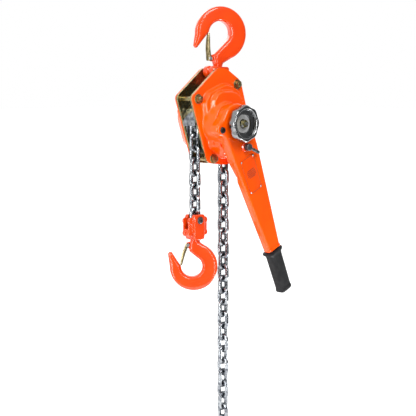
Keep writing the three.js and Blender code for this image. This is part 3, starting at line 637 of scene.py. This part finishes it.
def hook_sections(h):
    """Pairs of inner and outer points with a thickness and a squareness, from the shank to the tip."""
    neck = h["neck"]
    inner_centre = (h["inner_x"], -h["inner"])
    outer_centre = (h["outer_x"], h["outer_top"] - h["outer"])
    throat = [
        (-8.4, neck - 8), (-8.8, neck), (-10.8, neck + 7), (-11.5, neck + 15), (-10.8, neck + 22),
        *along([(-10.8, neck + 22), arc(inner_centre, h["inner"], -40, -40, 1)[0]], 7)[1:-1],
    ]
    back = [
        (8.4, neck - 8), (9, neck), (10.5, neck + 5.5), (17, neck + 9.5),
        *arc(outer_centre, h["outer"], -66, -42, len(throat) - 5),
    ]
    thick = h["thick"]
    sections = []
    for i, (a, b) in enumerate(zip(throat, back)):
        share = min(max((i - 1) / 5, 0), 1)
        sections.append((a, b, 16.8 + (thick - 16.8) * share, 2 + 3 * share))
    steps = 40
    inner_arc = arc(inner_centre, h["inner"], -40, 178, steps)
    outer_arc = arc(outer_centre, h["outer"], -40, 180, steps)
    for i, (a, b) in enumerate(zip(inner_arc, outer_arc)):
        slim = max(i / steps - 0.72, 0) / 0.28
        sections.append((a, b, thick - 5 * slim, 5 - 2 * slim))
    tip = Vector(h["tip"])
    inner_tip = along([inner_arc[-1], tip + Vector((4.2, -1.5))], 7)[1:]
    outer_tip = along([outer_arc[-1], tip + Vector((-3.4, 10)), tip + Vector((-4.8, 0))], 7)[1:]
    for i, (a, b) in enumerate(zip(inner_tip, outer_tip)):
        sections.append((a, b, thick - 5 - (i + 1) * 1.2, 2.3))
    end = tip + Vector((-0.4, -4.4))
    sections.append((tip + Vector((2.6, -3.6)), tip + Vector((-3.2, -3.2)), 6.5, 2.2))
    sections.append((end + Vector((0.8, 0)), end - Vector((0.8, 0)), 2, 2))
    return sections


def hook_body(h):
    sides = 44
    rows = []
    for inner, outer, thick, square in hook_sections(h):
        inner, outer = Vector(inner), Vector(outer)
        bevel = min(BOWL_BEVEL / max((outer - inner).length / 2, 0.1), 0.5)
        row = []
        for k in range(sides):
            c, s = polar(1, 360 * k / sides)
            across = math.copysign(abs(c) ** (2 / square), c)
            depth = math.copysign(abs(s) ** (2 / square), s)
            if across < 0 and square > 2.5:
                limit = 1 - BOWL_BEVEL * 2 / thick + (across + 1) * BOWL_BEVEL * 2 / thick / bevel
                depth = max(-limit, min(limit, depth))
            spot = inner.lerp(outer, (1 + across) / 2)
            row.append((spot.x, depth * thick / 2 * (1 - 0.06 * across), spot.y * h["side"]))
        rows.append(row)
    return skin(rows, loop_columns=True, caps=True)


def add_hook(prefix, h):
    side = h["side"]
    lug_x, lug_z = h["lug"]
    lug = plate(rounded([
        (-2, side * (lug_z - 8)), (-1, side * (lug_z + 11)),
        (lug_x - 4.4, side * (lug_z + 4.6)), (lug_x - 4.4, side * (lug_z - 4.4)),
    ], 4), -3.8, 1.0, 0.8)
    shank = upright_bar(8.4, side * (h["neck"] - 13), side * (h["neck"] + 2))
    piece(
        f"{prefix}_hook_forging", [hook_body(h), lug, shank], h["place"], h["hook_body"], [f"{prefix}_hook"],
        "hook_paint", voxel=0.8, smoothing=2,
    )
    pin = [
        turned_bar(2, -7, 7, 0.3, (lug_x, side * lug_z), 20),
        turned_bar(3.4, -7.4, -5.9, 0.6, (lug_x, side * lug_z), 24),
        turned_bar(3.4, 5.9, 7.4, 0.6, (lug_x, side * lug_z), 24),
    ]
    piece(
        f"{prefix}_latch_rivet", pin, h["place"], h["hook_body"], [f"{prefix}_latch_pin"], "machined_steel",
    )
    add_latch(prefix, h)


def add_latch(prefix, h):
    """A pressed channel, open towards the bowl, with its torsion spring beside the lug."""
    side = h["side"]
    pivot_x, pivot_z = h["lug"]
    tip_x = h["inner_x"] - h["inner"]
    tip_z = -h["inner"]
    stations = [
        (-0.09, -4.2, 1.5, 5.9), (-0.06, -5.2, 3.0, 5.9), (0.04, -5.4, 3.2, 5.9), (0.12, -5.4, 1.2, 5.8),
        (0.3, -6.0, 0.4, 5.4), (0.5, -5.8, 0.5, 4.8), (0.78, -4.2, 1.2, 3.8), (0.97, -2.2, 1.5, 2.6),
    ]
    rows = []
    bend = 1.6
    for share, web, lip, half in stations:
        x = pivot_x + share * (tip_x - pivot_x)
        z = pivot_z + share * (tip_z - pivot_z)
        section = [
            (x + lip, -half), (x + web + bend, -half), (x + web + bend * 0.3, -half + bend * 0.3),
            (x + web, -half + bend),
        ]
        section += [(across, -y) for across, y in reversed(section)]
        rows.append([(across, y, side * z) for across, y in section])
    piece(
        f"{prefix}_latch_channel", [skin(rows)], h["place"], h["latch_body"], [f"{prefix}_latch"],
        "latch_sheet", wall=1.3, facing=h["place"].to_3x3() @ Vector((-1, 0, 0)),
    )
    coil = []
    turns, per_turn = 3, 14
    for i in range(turns * per_turn + 1):
        x, z = polar(3.3, 200 + 360 * i / per_turn)
        coil.append((pivot_x + x, 1.6 + 0.85 * i / per_turn, side * (pivot_z + z)))
    leg = [(pivot_x - 2.4, 3.9, side * (pivot_z + 8)), (pivot_x - 4.0, 3.2, side * (pivot_z + 20))]
    piece(
        f"{prefix}_latch_spring", [tube([*coil, *leg], 0.4, 8)], h["place"], h["latch_body"], (),
        "machined_steel",
    )


for hook_name, hook_sizes in HOOKS.items():
    add_hook(hook_name, hook_sizes)

# ---- Top yoke ------------------------------------------------------------------------------------

TOP_YOKE_HALF = 16.5
for half_name, y0, y1 in (("front", -TOP_YOKE_HALF, -0.15), ("rear", 0.15, TOP_YOKE_HALF)):
    block = plate(rounded([(-15, -122), (15, -122), (16.5, -87), (-16.5, -87)], 6), y0, y1, 2.5, segments=3)
    bosses = [turned_bar(11, y0, y1, 4, (-17, -96)), turned_bar(7.5, y0, y1, 2, (17, -108))]
    piece(
        f"top_yoke_{half_name}_forging", [block, *bosses], ROW, "top_yoke", [f"top_yoke_{half_name}"],
        "hook_paint", holes=[upright_bar(8.9, -100, -80), turned_bar(7.3, -30, 30, 0.1, (0, TOP_PIN.z))],
        voxel=0.7, smoothing=5,
    )
for side_name, spot in (("left", (-18, -96)), ("right", (17.5, -108))):
    heads = [turned_bar(3.2, -16.4, 16.4, 0.3, spot)]
    for y0, y1 in ((-16.9, -15.6), (15.6, 16.9)):
        heads.append(turned_bar(4.4, y0, y1, 0.8, spot))
    piece(
        f"top_yoke_rivet_{side_name}_set", heads, ROW, "top_yoke",
        [f"top_yoke_rivet_{side_name}"], "hook_paint",
    )

# ---- Side plates, stay bolts ---------------------------------------------------------------------

BODY_OUTLINE = [(-54.5, 66), (27, 101.5), (50, 93), (81, 62), (84, 8), (76, -58), (16, -91), (-45, -67)]
OUTLINE_ROUNDING = [8, 7, 7, 9, 12, 14, 26, 9]
STAY_BOLTS = [(-39, 57.6), (69.3, 57.6), (59.4, -63.3), (-29, -63.3)]
PLATE_IN, PLATE_OUT, FLANGE, FLANGE_FACE = 17, 21, 21.3, 23.8


def in_body(name):
    spot = BODY.inverted() @ joint_place(name)
    return (spot.x, spot.z)


TOP_PIN_IN_BODY = in_body("frame_swing")
PAWLS = [in_body("pawl_upper_lift"), in_body("pawl_lower_lift")]


def side_plate(y0, y1):
    holes = [circle(21, steps=48), circle(7.3, TOP_PIN_IN_BODY)]
    holes += [circle(4.3, place, 24) for place in STAY_BOLTS]
    return plate(rounded(BODY_OUTLINE, OUTLINE_ROUNDING), y0, y1, 0.5, holes)


studs = [turned_bar(4, -40, -PLATE_IN - 0.5, 0.6, place, 24) for place in PAWLS]
piece(
    "side_plate_front_pressing", [side_plate(-PLATE_OUT, -PLATE_IN), *studs], BODY, "frame",
    ["side_plate_front"], "yellow_zinc", flat=True,
)
piece(
    "side_plate_rear_pressing", [side_plate(PLATE_IN, PLATE_OUT)], BODY, "frame", ["side_plate_rear"],
    "yellow_zinc", flat=True,
)


def thread(radius, y0, y1, centre):
    """A bar with the ridges of a thread."""
    profile = [(0, y0), (radius - 0.7, y0)]
    pitch = 1.25
    count = int((y1 - y0 - 0.6) / pitch)
    for i in range(count):
        y = y0 + 0.5 + i * pitch
        profile += [(radius, y), (radius - 0.55, y + pitch / 2)]
    profile += [(radius, y1), (0, y1)]
    return lathe(profile, 28, closed=False, centre=centre)


for number, spot in enumerate(STAY_BOLTS, 1):
    bolt = [
        turned_bar(5, -PLATE_IN + 0.3, PLATE_IN - 0.3, 0.7, spot, 36),
        turned_bar(3.9, -FLANGE_FACE - 1, FLANGE_FACE + 2, 0.3, spot, 28),
        thread(4, -FLANGE_FACE - 8.4, -FLANGE_FACE, spot),
        lathe([(4.1, FLANGE_FACE), (9.4, FLANGE_FACE), (9.6, FLANGE_FACE + 0.6), (9.2, FLANGE_FACE + 1.3),
               (4.1, FLANGE_FACE + 1.3)], 36, centre=spot),
        hexagon_bar(7.5, FLANGE_FACE + 1.2, FLANGE_FACE + 6.7, spot, turn=12),
    ]
    piece(f"stay_bolt_{number}_turned", bolt, BODY, "frame", [f"stay_bolt_{number}"], "yellow_zinc")
    nut = [
        lathe([(4.2, -FLANGE_FACE - 1.3), (9.2, -FLANGE_FACE - 1.3), (9.6, -FLANGE_FACE - 0.7),
               (9.4, -FLANGE_FACE - 0.1), (4.2, -FLANGE_FACE - 0.1)], 36, centre=spot),
        hexagon_bar(7.5, -FLANGE_FACE - 6.9, -FLANGE_FACE - 1.2, spot, bore=4.1, turn=18 * number),
    ]
    piece(
        f"stay_nut_{number}_turned", nut, BODY, "frame", [f"stay_nut_{number}"], "yellow_zinc",
        paint=DARK_ZINC_LOOK,
    )

# ---- Covers --------------------------------------------------------------------------------------

BRAKE_STEP = [
    (-37, 34), (-24, 66), (30, 72), (52, 62), (70, 44), (70, -36), (38, -73), (-8, -73), (-37, -36),
]
BRAKE_PANEL = [
    (-27, 28), (-14, 58), (8, 63), (42, 54), (60, 36), (62, -28), (36, -62), (-12, -61), (-30, -37),
]
GEAR_STEP = [(-50, 24), (-22, 65), (50, 70), (70, 42), (70, -38), (38, -74), (-6, -74), (-46, -34)]


def brake_cover_height(x, z):
    """A two-step pressing with a drum over the brake, its edges a little wavy."""
    wave = 1.1 * np.sin(z / 6.5 + 0.6) + 0.6 * np.sin(z / 3.4)
    near_left = step(-x, 5, 30)
    outer = step(inside_by(rounded(BRAKE_STEP, 12), x, z) + wave * near_left, 0, 6)
    panel = step(inside_by(rounded(BRAKE_PANEL, 12), x, z) + 0.8 * wave * near_left, -1, 5)
    radius = np.hypot(x, z)
    drum = step(42 - radius, 0, 6)
    lift = 11 * outer + 10.2 * panel
    return FLANGE_FACE + lift + (30.2 - lift) * drum


def gear_cover_height(x, z):
    """A domed cover with a long raised field over the idler gears."""
    outer = step(inside_by(rounded(GEAR_STEP, 14), x, z), -3, 14)
    field = step(36 - np.hypot(x * 1.02, np.maximum(np.abs(z) - 34, 0)), 0, 6)
    dish = step(17 - np.hypot(x, z), 0, 5)
    return FLANGE_FACE + 24.2 * outer + 4 * field * outer - 2.2 * dish


body_rim = rounded(BODY_OUTLINE, OUTLINE_ROUNDING)
piece(
    "brake_cover_pressing", [stamping(body_rim, 20, brake_cover_height, -1)], BODY, "frame",
    ["brake_cover"], "cover_paint", wall=2.5, facing=Vector((0, -1, 0)),
)
piece(
    "gear_cover_pressing", [stamping(body_rim, 0.01, gear_cover_height, 1)], BODY, "frame", ["gear_cover"],
    "cover_paint", wall=2.4, facing=Vector((0, 1, 0)),
)

# ---- Sheave, guides, stripper --------------------------------------------------------------------


def sheave_radius(radius, y, degrees):
    """Raises the pocket walls between the links that lie flat."""
    if 25 < radius < 36 and abs(y) < 16:
        offset = abs((degrees - 90 + 36) % 72 - 36)
        return radius + 8 * float(step(12 - offset, 0, 6))
    return radius


wall_y = PLATE_IN - 0.5
sheave_profile = [
    (7.5, -21), (17.7, -21), (17.7, -wall_y), (45.5, -wall_y), (47, -16.2), (47, -15.5), (45.8, -15.3),
    (31, -15.1), (30.6, -14), (30.6, -6.6), (30, -5.7), (21.5, -5.5), (21.5, 5.5), (30, 5.7), (30.6, 6.6),
    (30.6, 14), (31, 15.1), (45.8, 15.3), (47, 15.5), (47, 16.2), (45.5, wall_y), (17.7, wall_y),
    (17.7, 21), (13, 21), (13, 34.1), (7.5, 34.1),
]
piece(
    "load_sheave_casting", [lathe(sheave_profile, 120, reshape=sheave_radius)], SHEAVE, "sheave",
    ["load_sheave"], "machined_steel",
)
for end_name, y0, y1 in (("front", -21, -17), ("rear", 17, 21)):
    bush = lathe([(18.3, y0), (20.4, y0), (20.4, y1), (18.3, y1)], 64)
    piece(
        f"sheave_bush_{end_name}_ring", [bush], SHEAVE, "frame", [f"sheave_bush_{end_name}"],
        "machined_steel",
    )
for side_name, start, end in (("left", 150, 186), ("right", -6, 30)):
    outline = arc((0, 0), 52.4, start, end, 24) + arc((0, 0), 54, end, start, 24)
    piece(
        f"chain_guide_{side_name}_sheet", [plate(outline, -PLATE_IN + 0.4, PLATE_IN - 0.4, 0.4)],
        SHEAVE, "frame",
        [f"chain_guide_{side_name}"], "machined_steel", paint=LOOKS["chain_zinc"],
    )
foot = plate(rounded([(-17, -60), (17, -60), (12, -50), (-12, -50)], 3), -16.6, 16.6, 0.8)
finger = plate(rounded([(-9, -52), (9, -52), (14, -27), (-14, -27)], 3), -4.2, 4.2, 0.8)
piece(
    "chain_stripper_casting", [foot, finger], SHEAVE, "frame", ["chain_stripper"], "machined_steel",
    voxel=0.7, smoothing=2,
)
piece(
    "top_pin_turned", [turned_bar(7, -PLATE_OUT, PLATE_OUT, 0.8, (0, TOP_PIN.z), 40)],
    ROW, "frame", ["top_pin"],
    "machined_steel",
)

# ---- Lever ---------------------------------------------------------------------------------------

LEVER_FACE, LEVER_SPLIT, LEVER_BACK = -77, -67, -55.5
LEVER_LENGTH = 276
REAR_END = 99


LUG_X, LUG_RISE = 42.3, 7.8


def lever_outline(end):
    """The lever's outline down to a distance along it: head, a higher left lug, a lower right one, arm."""
    narrow = 16.5 + (41 - 16.5) * (1 - end / LEVER_LENGTH)
    halves = []
    for side in (1, -1):
        drop = side * LUG_RISE
        half = [
            (narrow - 3, -end), (narrow, -end + 1), (narrow + 0.4, -end + 5), (35.6, -62), (35.2, -52),
            (36.4, -36 - 0.4 * drop), (38.5, -22 - drop), (43.5, -13.5 - drop),
        ]
        half += arc((LUG_X, -drop), 12.4, -60, 60, 6)
        half += [(42.3, 12.6 - drop), (35, 17 - 0.7 * drop), (30, 23 - 0.2 * drop)]
        half += arc((0, 0), 37.6, 46, 88, 6)
        halves.append([(side * x, z) for x, z in half])
    return smoothed(halves[0] + halves[1][::-1])


def lever_front():
    holes = [circle(15, steps=40), circle(5.3, (0, -49), 24)]
    mesh = shell(lever_outline(LEVER_LENGTH), LEVER_FACE, -62, 5, holes)
    for vertex in mesh.vertices:
        if vertex.co.z > -REAR_END and vertex.co.y > LEVER_SPLIT - 0.3:
            vertex.co.y = LEVER_SPLIT - 0.3
    return mesh


piece(
    "lever_front_pressing", [lever_front()], LEVER, "lever", ["lever_front_shell"], "cover_paint", wall=2.4,
    facing=Vector((0, -1, 0)), flat=True,
)
def lever_rear():
    mesh = shell(lever_outline(REAR_END), LEVER_BACK, LEVER_SPLIT, 3, [circle(18.5, steps=40)])
    for vertex in mesh.vertices:
        fade = min(max((-vertex.co.z - 60) / (REAR_END - 60), 0), 1)
        vertex.co.y = LEVER_SPLIT + (vertex.co.y - LEVER_SPLIT) * (1 - 0.7 * fade)
    return mesh


piece(
    "lever_rear_pressing", [lever_rear()], LEVER, "lever", ["lever_rear_shell"], "cover_paint",
    wall=2.4, facing=Vector((0, 1, 0)), flat=True,
)


def socket_head(radius, y0, y1, centre, socket):
    """A domed screw head that faces -Y, with a round-cornered socket."""
    depth = (y1 - y0) * 0.6
    profile = [
        (0, y0 + depth), (socket, y0 + depth), (socket, y0 + 0.2), (socket + 0.3, y0),
        (radius * 0.72, y0 + 0.15),
        (radius * 0.93, y0 + (y1 - y0) * 0.35), (radius, y1 - 0.2), (radius, y1), (0, y1),
    ]
    return lathe(profile, 36, closed=False, centre=centre)


for side_name, spot in (("left", (-LUG_X, LUG_RISE - 2)), ("right", (LUG_X, -LUG_RISE - 2))):
    screw = [
        socket_head(6.2, LEVER_FACE - 3.2, LEVER_FACE - 0.2, spot, 1.9),
        turned_bar(2.5, LEVER_FACE - 1, LEVER_BACK - 0.6, 0.3, spot, 20),
    ]
    piece(
        f"lever_screw_{side_name}_turned", screw, LEVER, "lever", [f"lever_screw_{side_name}"],
        "black_screw",
    )


def grip_mesh():
    """A moulded sleeve with a collar at the top and a lip at its end."""
    middle = -67.5
    stations = [
        (-276.6, 19.2, 11.4), (-277, 20.4, 12.2), (-278.4, 21, 12.5), (-281, 20.6, 12.3), (-282.6, 19, 11.9),
        (-284.6, 16.2, 11.3), (-290, 15.2, 11), (-320, 15, 10.9), (-358, 14.6, 10.7), (-361.5, 14.8, 10.8),
        (-363.5, 15.6, 11.2), (-366.5, 15.7, 11.3), (-368.8, 15, 10.8), (-370, 13.4, 9.6),
    ]
    rows = []
    for z, wide, deep in stations:
        row = []
        for k in range(48):
            c, s = polar(1, 360 * k / 48)
            x = math.copysign(abs(c) ** 0.42, c) * wide
            y = math.copysign(abs(s) ** 0.42, s) * deep
            row.append((x, middle + y, z))
        rows.append(row)
    return skin(rows, loop_columns=True, caps=True)


piece("grip_sleeve", [grip_mesh()], LEVER, "lever", ["grip"], "grip_rubber")

PLATE_BACK = LEVER_FACE - 0.15
plate_corners = [(-22, -140), (12.5, -140), (15.5, -70), (-24, -70)]
inner_corners = [(-20.8, -138.8), (11.4, -138.8), (14.2, -71.2), (-22.6, -71.2)]
piece(
    "nameplate_sheet", [plate(rounded(plate_corners, 3), PLATE_BACK - 0.7, PLATE_BACK, 0.2)], LEVER, "lever",
    ["nameplate"], "cover_paint", paint=NAMEPLATE_LOOK,
)
border = plate(
    rounded(plate_corners, 3), PLATE_BACK - 0.9, PLATE_BACK - 0.5, 0.1, [rounded(inner_corners, 2)],
)
piece("nameplate_border", [border], LEVER, "lever", (), "cover_paint", paint=PLATE_LINE_LOOK)
rules = []
for z, wide in ((-96, 10), (-99.5, 12), (-103, 12), (-106.5, 12), (-110, 9)):
    corners = [(-wide - 4, z - 0.7), (wide - 4, z - 0.7), (wide - 4, z + 0.7), (-wide - 4, z + 0.7)]
    rules.append(plate(rounded(corners, 0.5), PLATE_BACK - 0.95, PLATE_BACK - 0.5, 0.1))
piece("nameplate_rules", rules, LEVER, "lever", (), "cover_paint", paint=PLATE_RULE_LOOK)
rivets = [turned_bar(1.9, PLATE_BACK - 1.9, PLATE_BACK - 0.4, 0.7, spot, 20) for spot in (
    (-21.4, -72.6), (13, -72.6), (-19.4, -137.6), (10, -137.6),
)]
piece("nameplate_rivets", rivets, LEVER, "lever", (), "machined_steel")

# ---- Selector ------------------------------------------------------------------------------------


def selector_stem():
    """The knob's stem runs down -Z, with a collar and a thicker ridged end."""
    rows = []
    stations = [
        (-3, 3.0), (-12, 2.8), (-14, 2.8), (-14.3, 3.4), (-16.4, 3.4), (-16.8, 2.6), (-20, 2.5), (-20.6, 3.1),
        *[(-21.4 - i * 0.9, 3.3 - 0.35 * (i % 2)) for i in range(9)], (-30.2, 2.9), (-31, 2.0),
    ]
    for z, radius in stations:
        ring = []
        for k in range(28):
            x, y = polar(radius, 360 * k / 28)
            ring.append((x, -86.5 + y, z))
        rows.append(ring)
    return skin(rows, loop_columns=True, caps=True)


knob = lathe([(0, -91), (4.6, -91), (6.2, -90.6), (7, -89.6), (7, -83.4), (6.4, -81.4), (5, -81), (5, -64),
              (0, -64)], 40, closed=False)
piece("selector_knob_turned", [knob, selector_stem()], SELECTOR, "selector", ["selector_knob"], "grey_steel")
boss_profile = [
    (5.2, -80.8), (7.2, -80.8), (8.2, -80.3), (8.6, -79.4), (9.4, -77.9), (9.6, -77.2), (5.2, -77.2),
]
boss = lathe(boss_profile, 40)
piece("selector_boss", [boss], SELECTOR, "lever", (), "hook_paint")

# ---- Handwheel -----------------------------------------------------------------------------------

WHEEL_LOBES = 8
LOBE_WEIGHT_FROM = 29


def scalloped(radius, y, degrees):
    notch = 0.5 + 0.5 * math.cos(math.radians(degrees * WHEEL_LOBES))
    weight = min(max((radius - LOBE_WEIGHT_FROM) / 5, 0), 1)
    return radius - 2.2 * notch * weight


wheel_profile = [
    (5.8, -71.3), (13.2, -71.3), (13.5, -71.6), (13.5, -84.8), (14, -85), (31, -85), (33.2, -85.4),
    (34.6, -86.7), (35.2, -88.9), (35.3, -93), (35.2, -97.5), (34.4, -99.9), (32.6, -101.2), (30.4, -101.5),
    (28.6, -101.3), (27.4, -100.5), (26.8, -98.8), (26.5, -95), (26, -93.4), (24.8, -92.8), (19.4, -92.7),
    (18.4, -92.3), (17.8, -91), (17.4, -89.8), (16.6, -89.4), (5.8, -89.3),
]
piece(
    "handwheel_casting", [lathe(wheel_profile, 192, reshape=scalloped)], LEVER, "handwheel", ["handwheel"],
    "chrome",
)
floor_ring = lathe([(9, -90.2), (16.2, -90.2), (17, -90.6), (17, -89.2), (9, -89.2)], 96)
piece("handwheel_floor_ring", [floor_ring], LEVER, "handwheel", (), "machined_steel", paint=SATIN_LOOK)
crown = []
for k in range(6):
    wedge = arc((0, 0), 6.8, 60 * k - 20, 60 * k + 20, 6) + arc((0, 0), 3.9, 60 * k + 20, 60 * k - 20, 6)
    crown.append(plate(wedge, -97.5, -95.1, 0.3))
castle_nut = [hexagon_bar(8, -95.4, -89.9, bore=3.6), *crown]
piece("handwheel_castle_nut", castle_nut, LEVER, "input_shaft", ["handwheel_nut"], "yellow_zinc")
COTTER_Y = -96.3
cotter = [
    tube(
        [(-8.2, COTTER_Y, 0.5), (6.4, COTTER_Y, 0.5), (8, COTTER_Y - 0.8, 2.2), (7.4, COTTER_Y - 1.8, 4.4)],
        0.7, 8,
    ),
    tube(
        [(-8.2, COTTER_Y, -0.6), (6.4, COTTER_Y, -0.6), (8, COTTER_Y - 1, -2.4), (6.2, COTTER_Y - 2, -4)],
        0.7, 8,
    ),
]
loop_angles = np.linspace(0.5, 2 * math.pi - 0.5, 14)
loop = [(-9.4 + 1.9 * math.cos(a), COTTER_Y, 1.7 * math.sin(a)) for a in loop_angles]
cotter.append(tube(loop, 0.7, 8))
piece("cotter_pin", cotter, LEVER, "input_shaft", (), "machined_steel")

# ---- Chain ---------------------------------------------------------------------------------------

CHAIN_PITCH = 24
CHAIN_WIRE = 8
CHAIN_TWIST = 6
LINK_BOW = 9.3
RING_RADIUS = 17
VERTEX_RADIUS = CHAIN_PITCH / 2 / math.sin(math.radians(18))
LOAD_LINKS, TAIL_LINKS, WRAP_LINKS = 8, 26, 5


def link(place, flat):
    """One welded link about its own centre, long in Z; flat links lie across the sheave."""
    straight = (CHAIN_PITCH + CHAIN_WIRE) / 2 - LINK_BOW
    path = [(x, z + straight) for x, z in arc((0, 0), LINK_BOW, 0, 180, 12)]
    path += [(x, z - straight) for x, z in arc((0, 0), LINK_BOW, 180, 360, 12)]
    path = along([*path, path[0]], 41)[:-1]

    def wire(share):
        weld = math.exp(-((share - 0.5) / 0.035) ** 2)
        return CHAIN_WIRE / 2 * (0.985 + 0.07 * weld)

    points = [(0, x, z) if flat else (x, 0, z) for x, z in path]
    mesh = tube(points, wire, 14, closed=True)
    mesh.transform(place)
    return mesh


def fall(x, count):
    """A hanging run of links that twists towards its middle and back."""
    links = []
    for i in range(count):
        twist = math.radians(CHAIN_TWIST * min(1, i / 3, (count - 1 - i) / 3))
        place = Matrix.Translation((x, 0, -CHAIN_PITCH * (i + 0.5))) @ Matrix.Rotation(twist, 4, "Z")
        links.append(link(place, i % 2 == 0))
    return links


def wrapped():
    links = []
    for i in range(WRAP_LINKS):
        angle = 162 - 36 * i
        x, z = polar(VERTEX_RADIUS * math.cos(math.radians(18)), angle)
        spin = Matrix.Rotation(math.radians(-angle), 4, "Y")
        links.append(link(Matrix.Translation((x, 0, z)) @ spin, i % 2 == 1))
    return links


piece("sheave_chain_links", wrapped(), SHEAVE, "sheave", ["sheave_chain"], "chain_zinc")
piece("load_chain_links", fall(-VERTEX_RADIUS, LOAD_LINKS), SHEAVE, "load_fall", ["load_chain"], "chain_zinc")
piece("tail_chain_links", fall(VERTEX_RADIUS, TAIL_LINKS), SHEAVE, "tail_fall", ["tail_chain"], "chain_zinc")
ring_low, ring_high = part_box("end_ring")
ring_middle = (ring_low + ring_high) / 2 / MM
ring_points = [
    (ring_middle.x, ring_middle.y + y, ring_middle.z + z) for y, z in circle(RING_RADIUS, steps=64)
]
piece("end_ring_wire", [tube(ring_points, 3.5, 16, closed=True)], ROW, "end_ring", ["end_ring"], "chain_zinc")

# ---- Bottom yoke ---------------------------------------------------------------------------------

for half_name, y0, y1, w0, w1 in (("front", -14.5, -0.15, -9.4, -0.15), ("rear", 0.15, 14.5, 0.15, 9.4)):
    corners = [(-13, -39), (13, -39), (14, 11), (-14, 11)]
    block = plate(rounded(corners, [7, 7, 6, 6]), y0, y1, 2.5, segments=3)
    shoulder = plate(rounded([(-18, -26), (18, -26), (17, 6), (-17, 6)], 6), y0 * 0.8, y1 * 0.8, 2.4)
    middle = plate(rounded([(-24, -26), (24, -26), (24, -2), (-24, -2)], 6), w0, w1, 2, segments=3)
    lobes = [turned_bar(7, w0 * 1.1, w1 * 1.1, 2, (x, z)) for x in (-18.5, 18.5) for z in (-24.5, -1)]
    piece(
        f"bottom_yoke_{half_name}_forging", [block, shoulder, middle, *lobes], YOKE, "bottom_yoke",
        [f"bottom_yoke_{half_name}"], "hook_paint",
        holes=[plate(rounded([(-40, -16.5), (40, -16.5), (40, 20), (-40, 20)], 1), -5.6, 5.6, 0.2),
               upright_bar(8.9, -45, -27)],
        voxel=0.7, smoothing=5,
    )
pin_head = socket_head(7.2, -17.6, -14.2, (0, 0), 2.6)
piece(
    "chain_pin_turned", [pin_head, turned_bar(4.4, -15, 16, 0.6, steps=32)],
    YOKE, "bottom_yoke", ["chain_pin"],
    "grey_steel",
)
for side_name, x in (("left", -19), ("right", 19)):
    rivet = [turned_bar(2.8, -9.6, 9.6, 0.4, (x, -24), 24)]
    for y0, y1 in ((-10.4, -8.6), (8.6, 10.4)):
        rivet.append(turned_bar(4.2, y0, y1, 0.9, (x, -24), 24))
    piece(
        f"bottom_yoke_rivet_{side_name}_set", rivet, YOKE, "bottom_yoke", [f"bottom_yoke_rivet_{side_name}"],
        "hook_paint",
    )

# ---- CAD parts that keep their own shape ---------------------------------------------------------

for part in frame["record"]["subparts"]:
    mesh = NODES[part["node"]].data
    mesh.materials.clear()
    mesh.materials.append(LOOKS[part["material_slot"]])
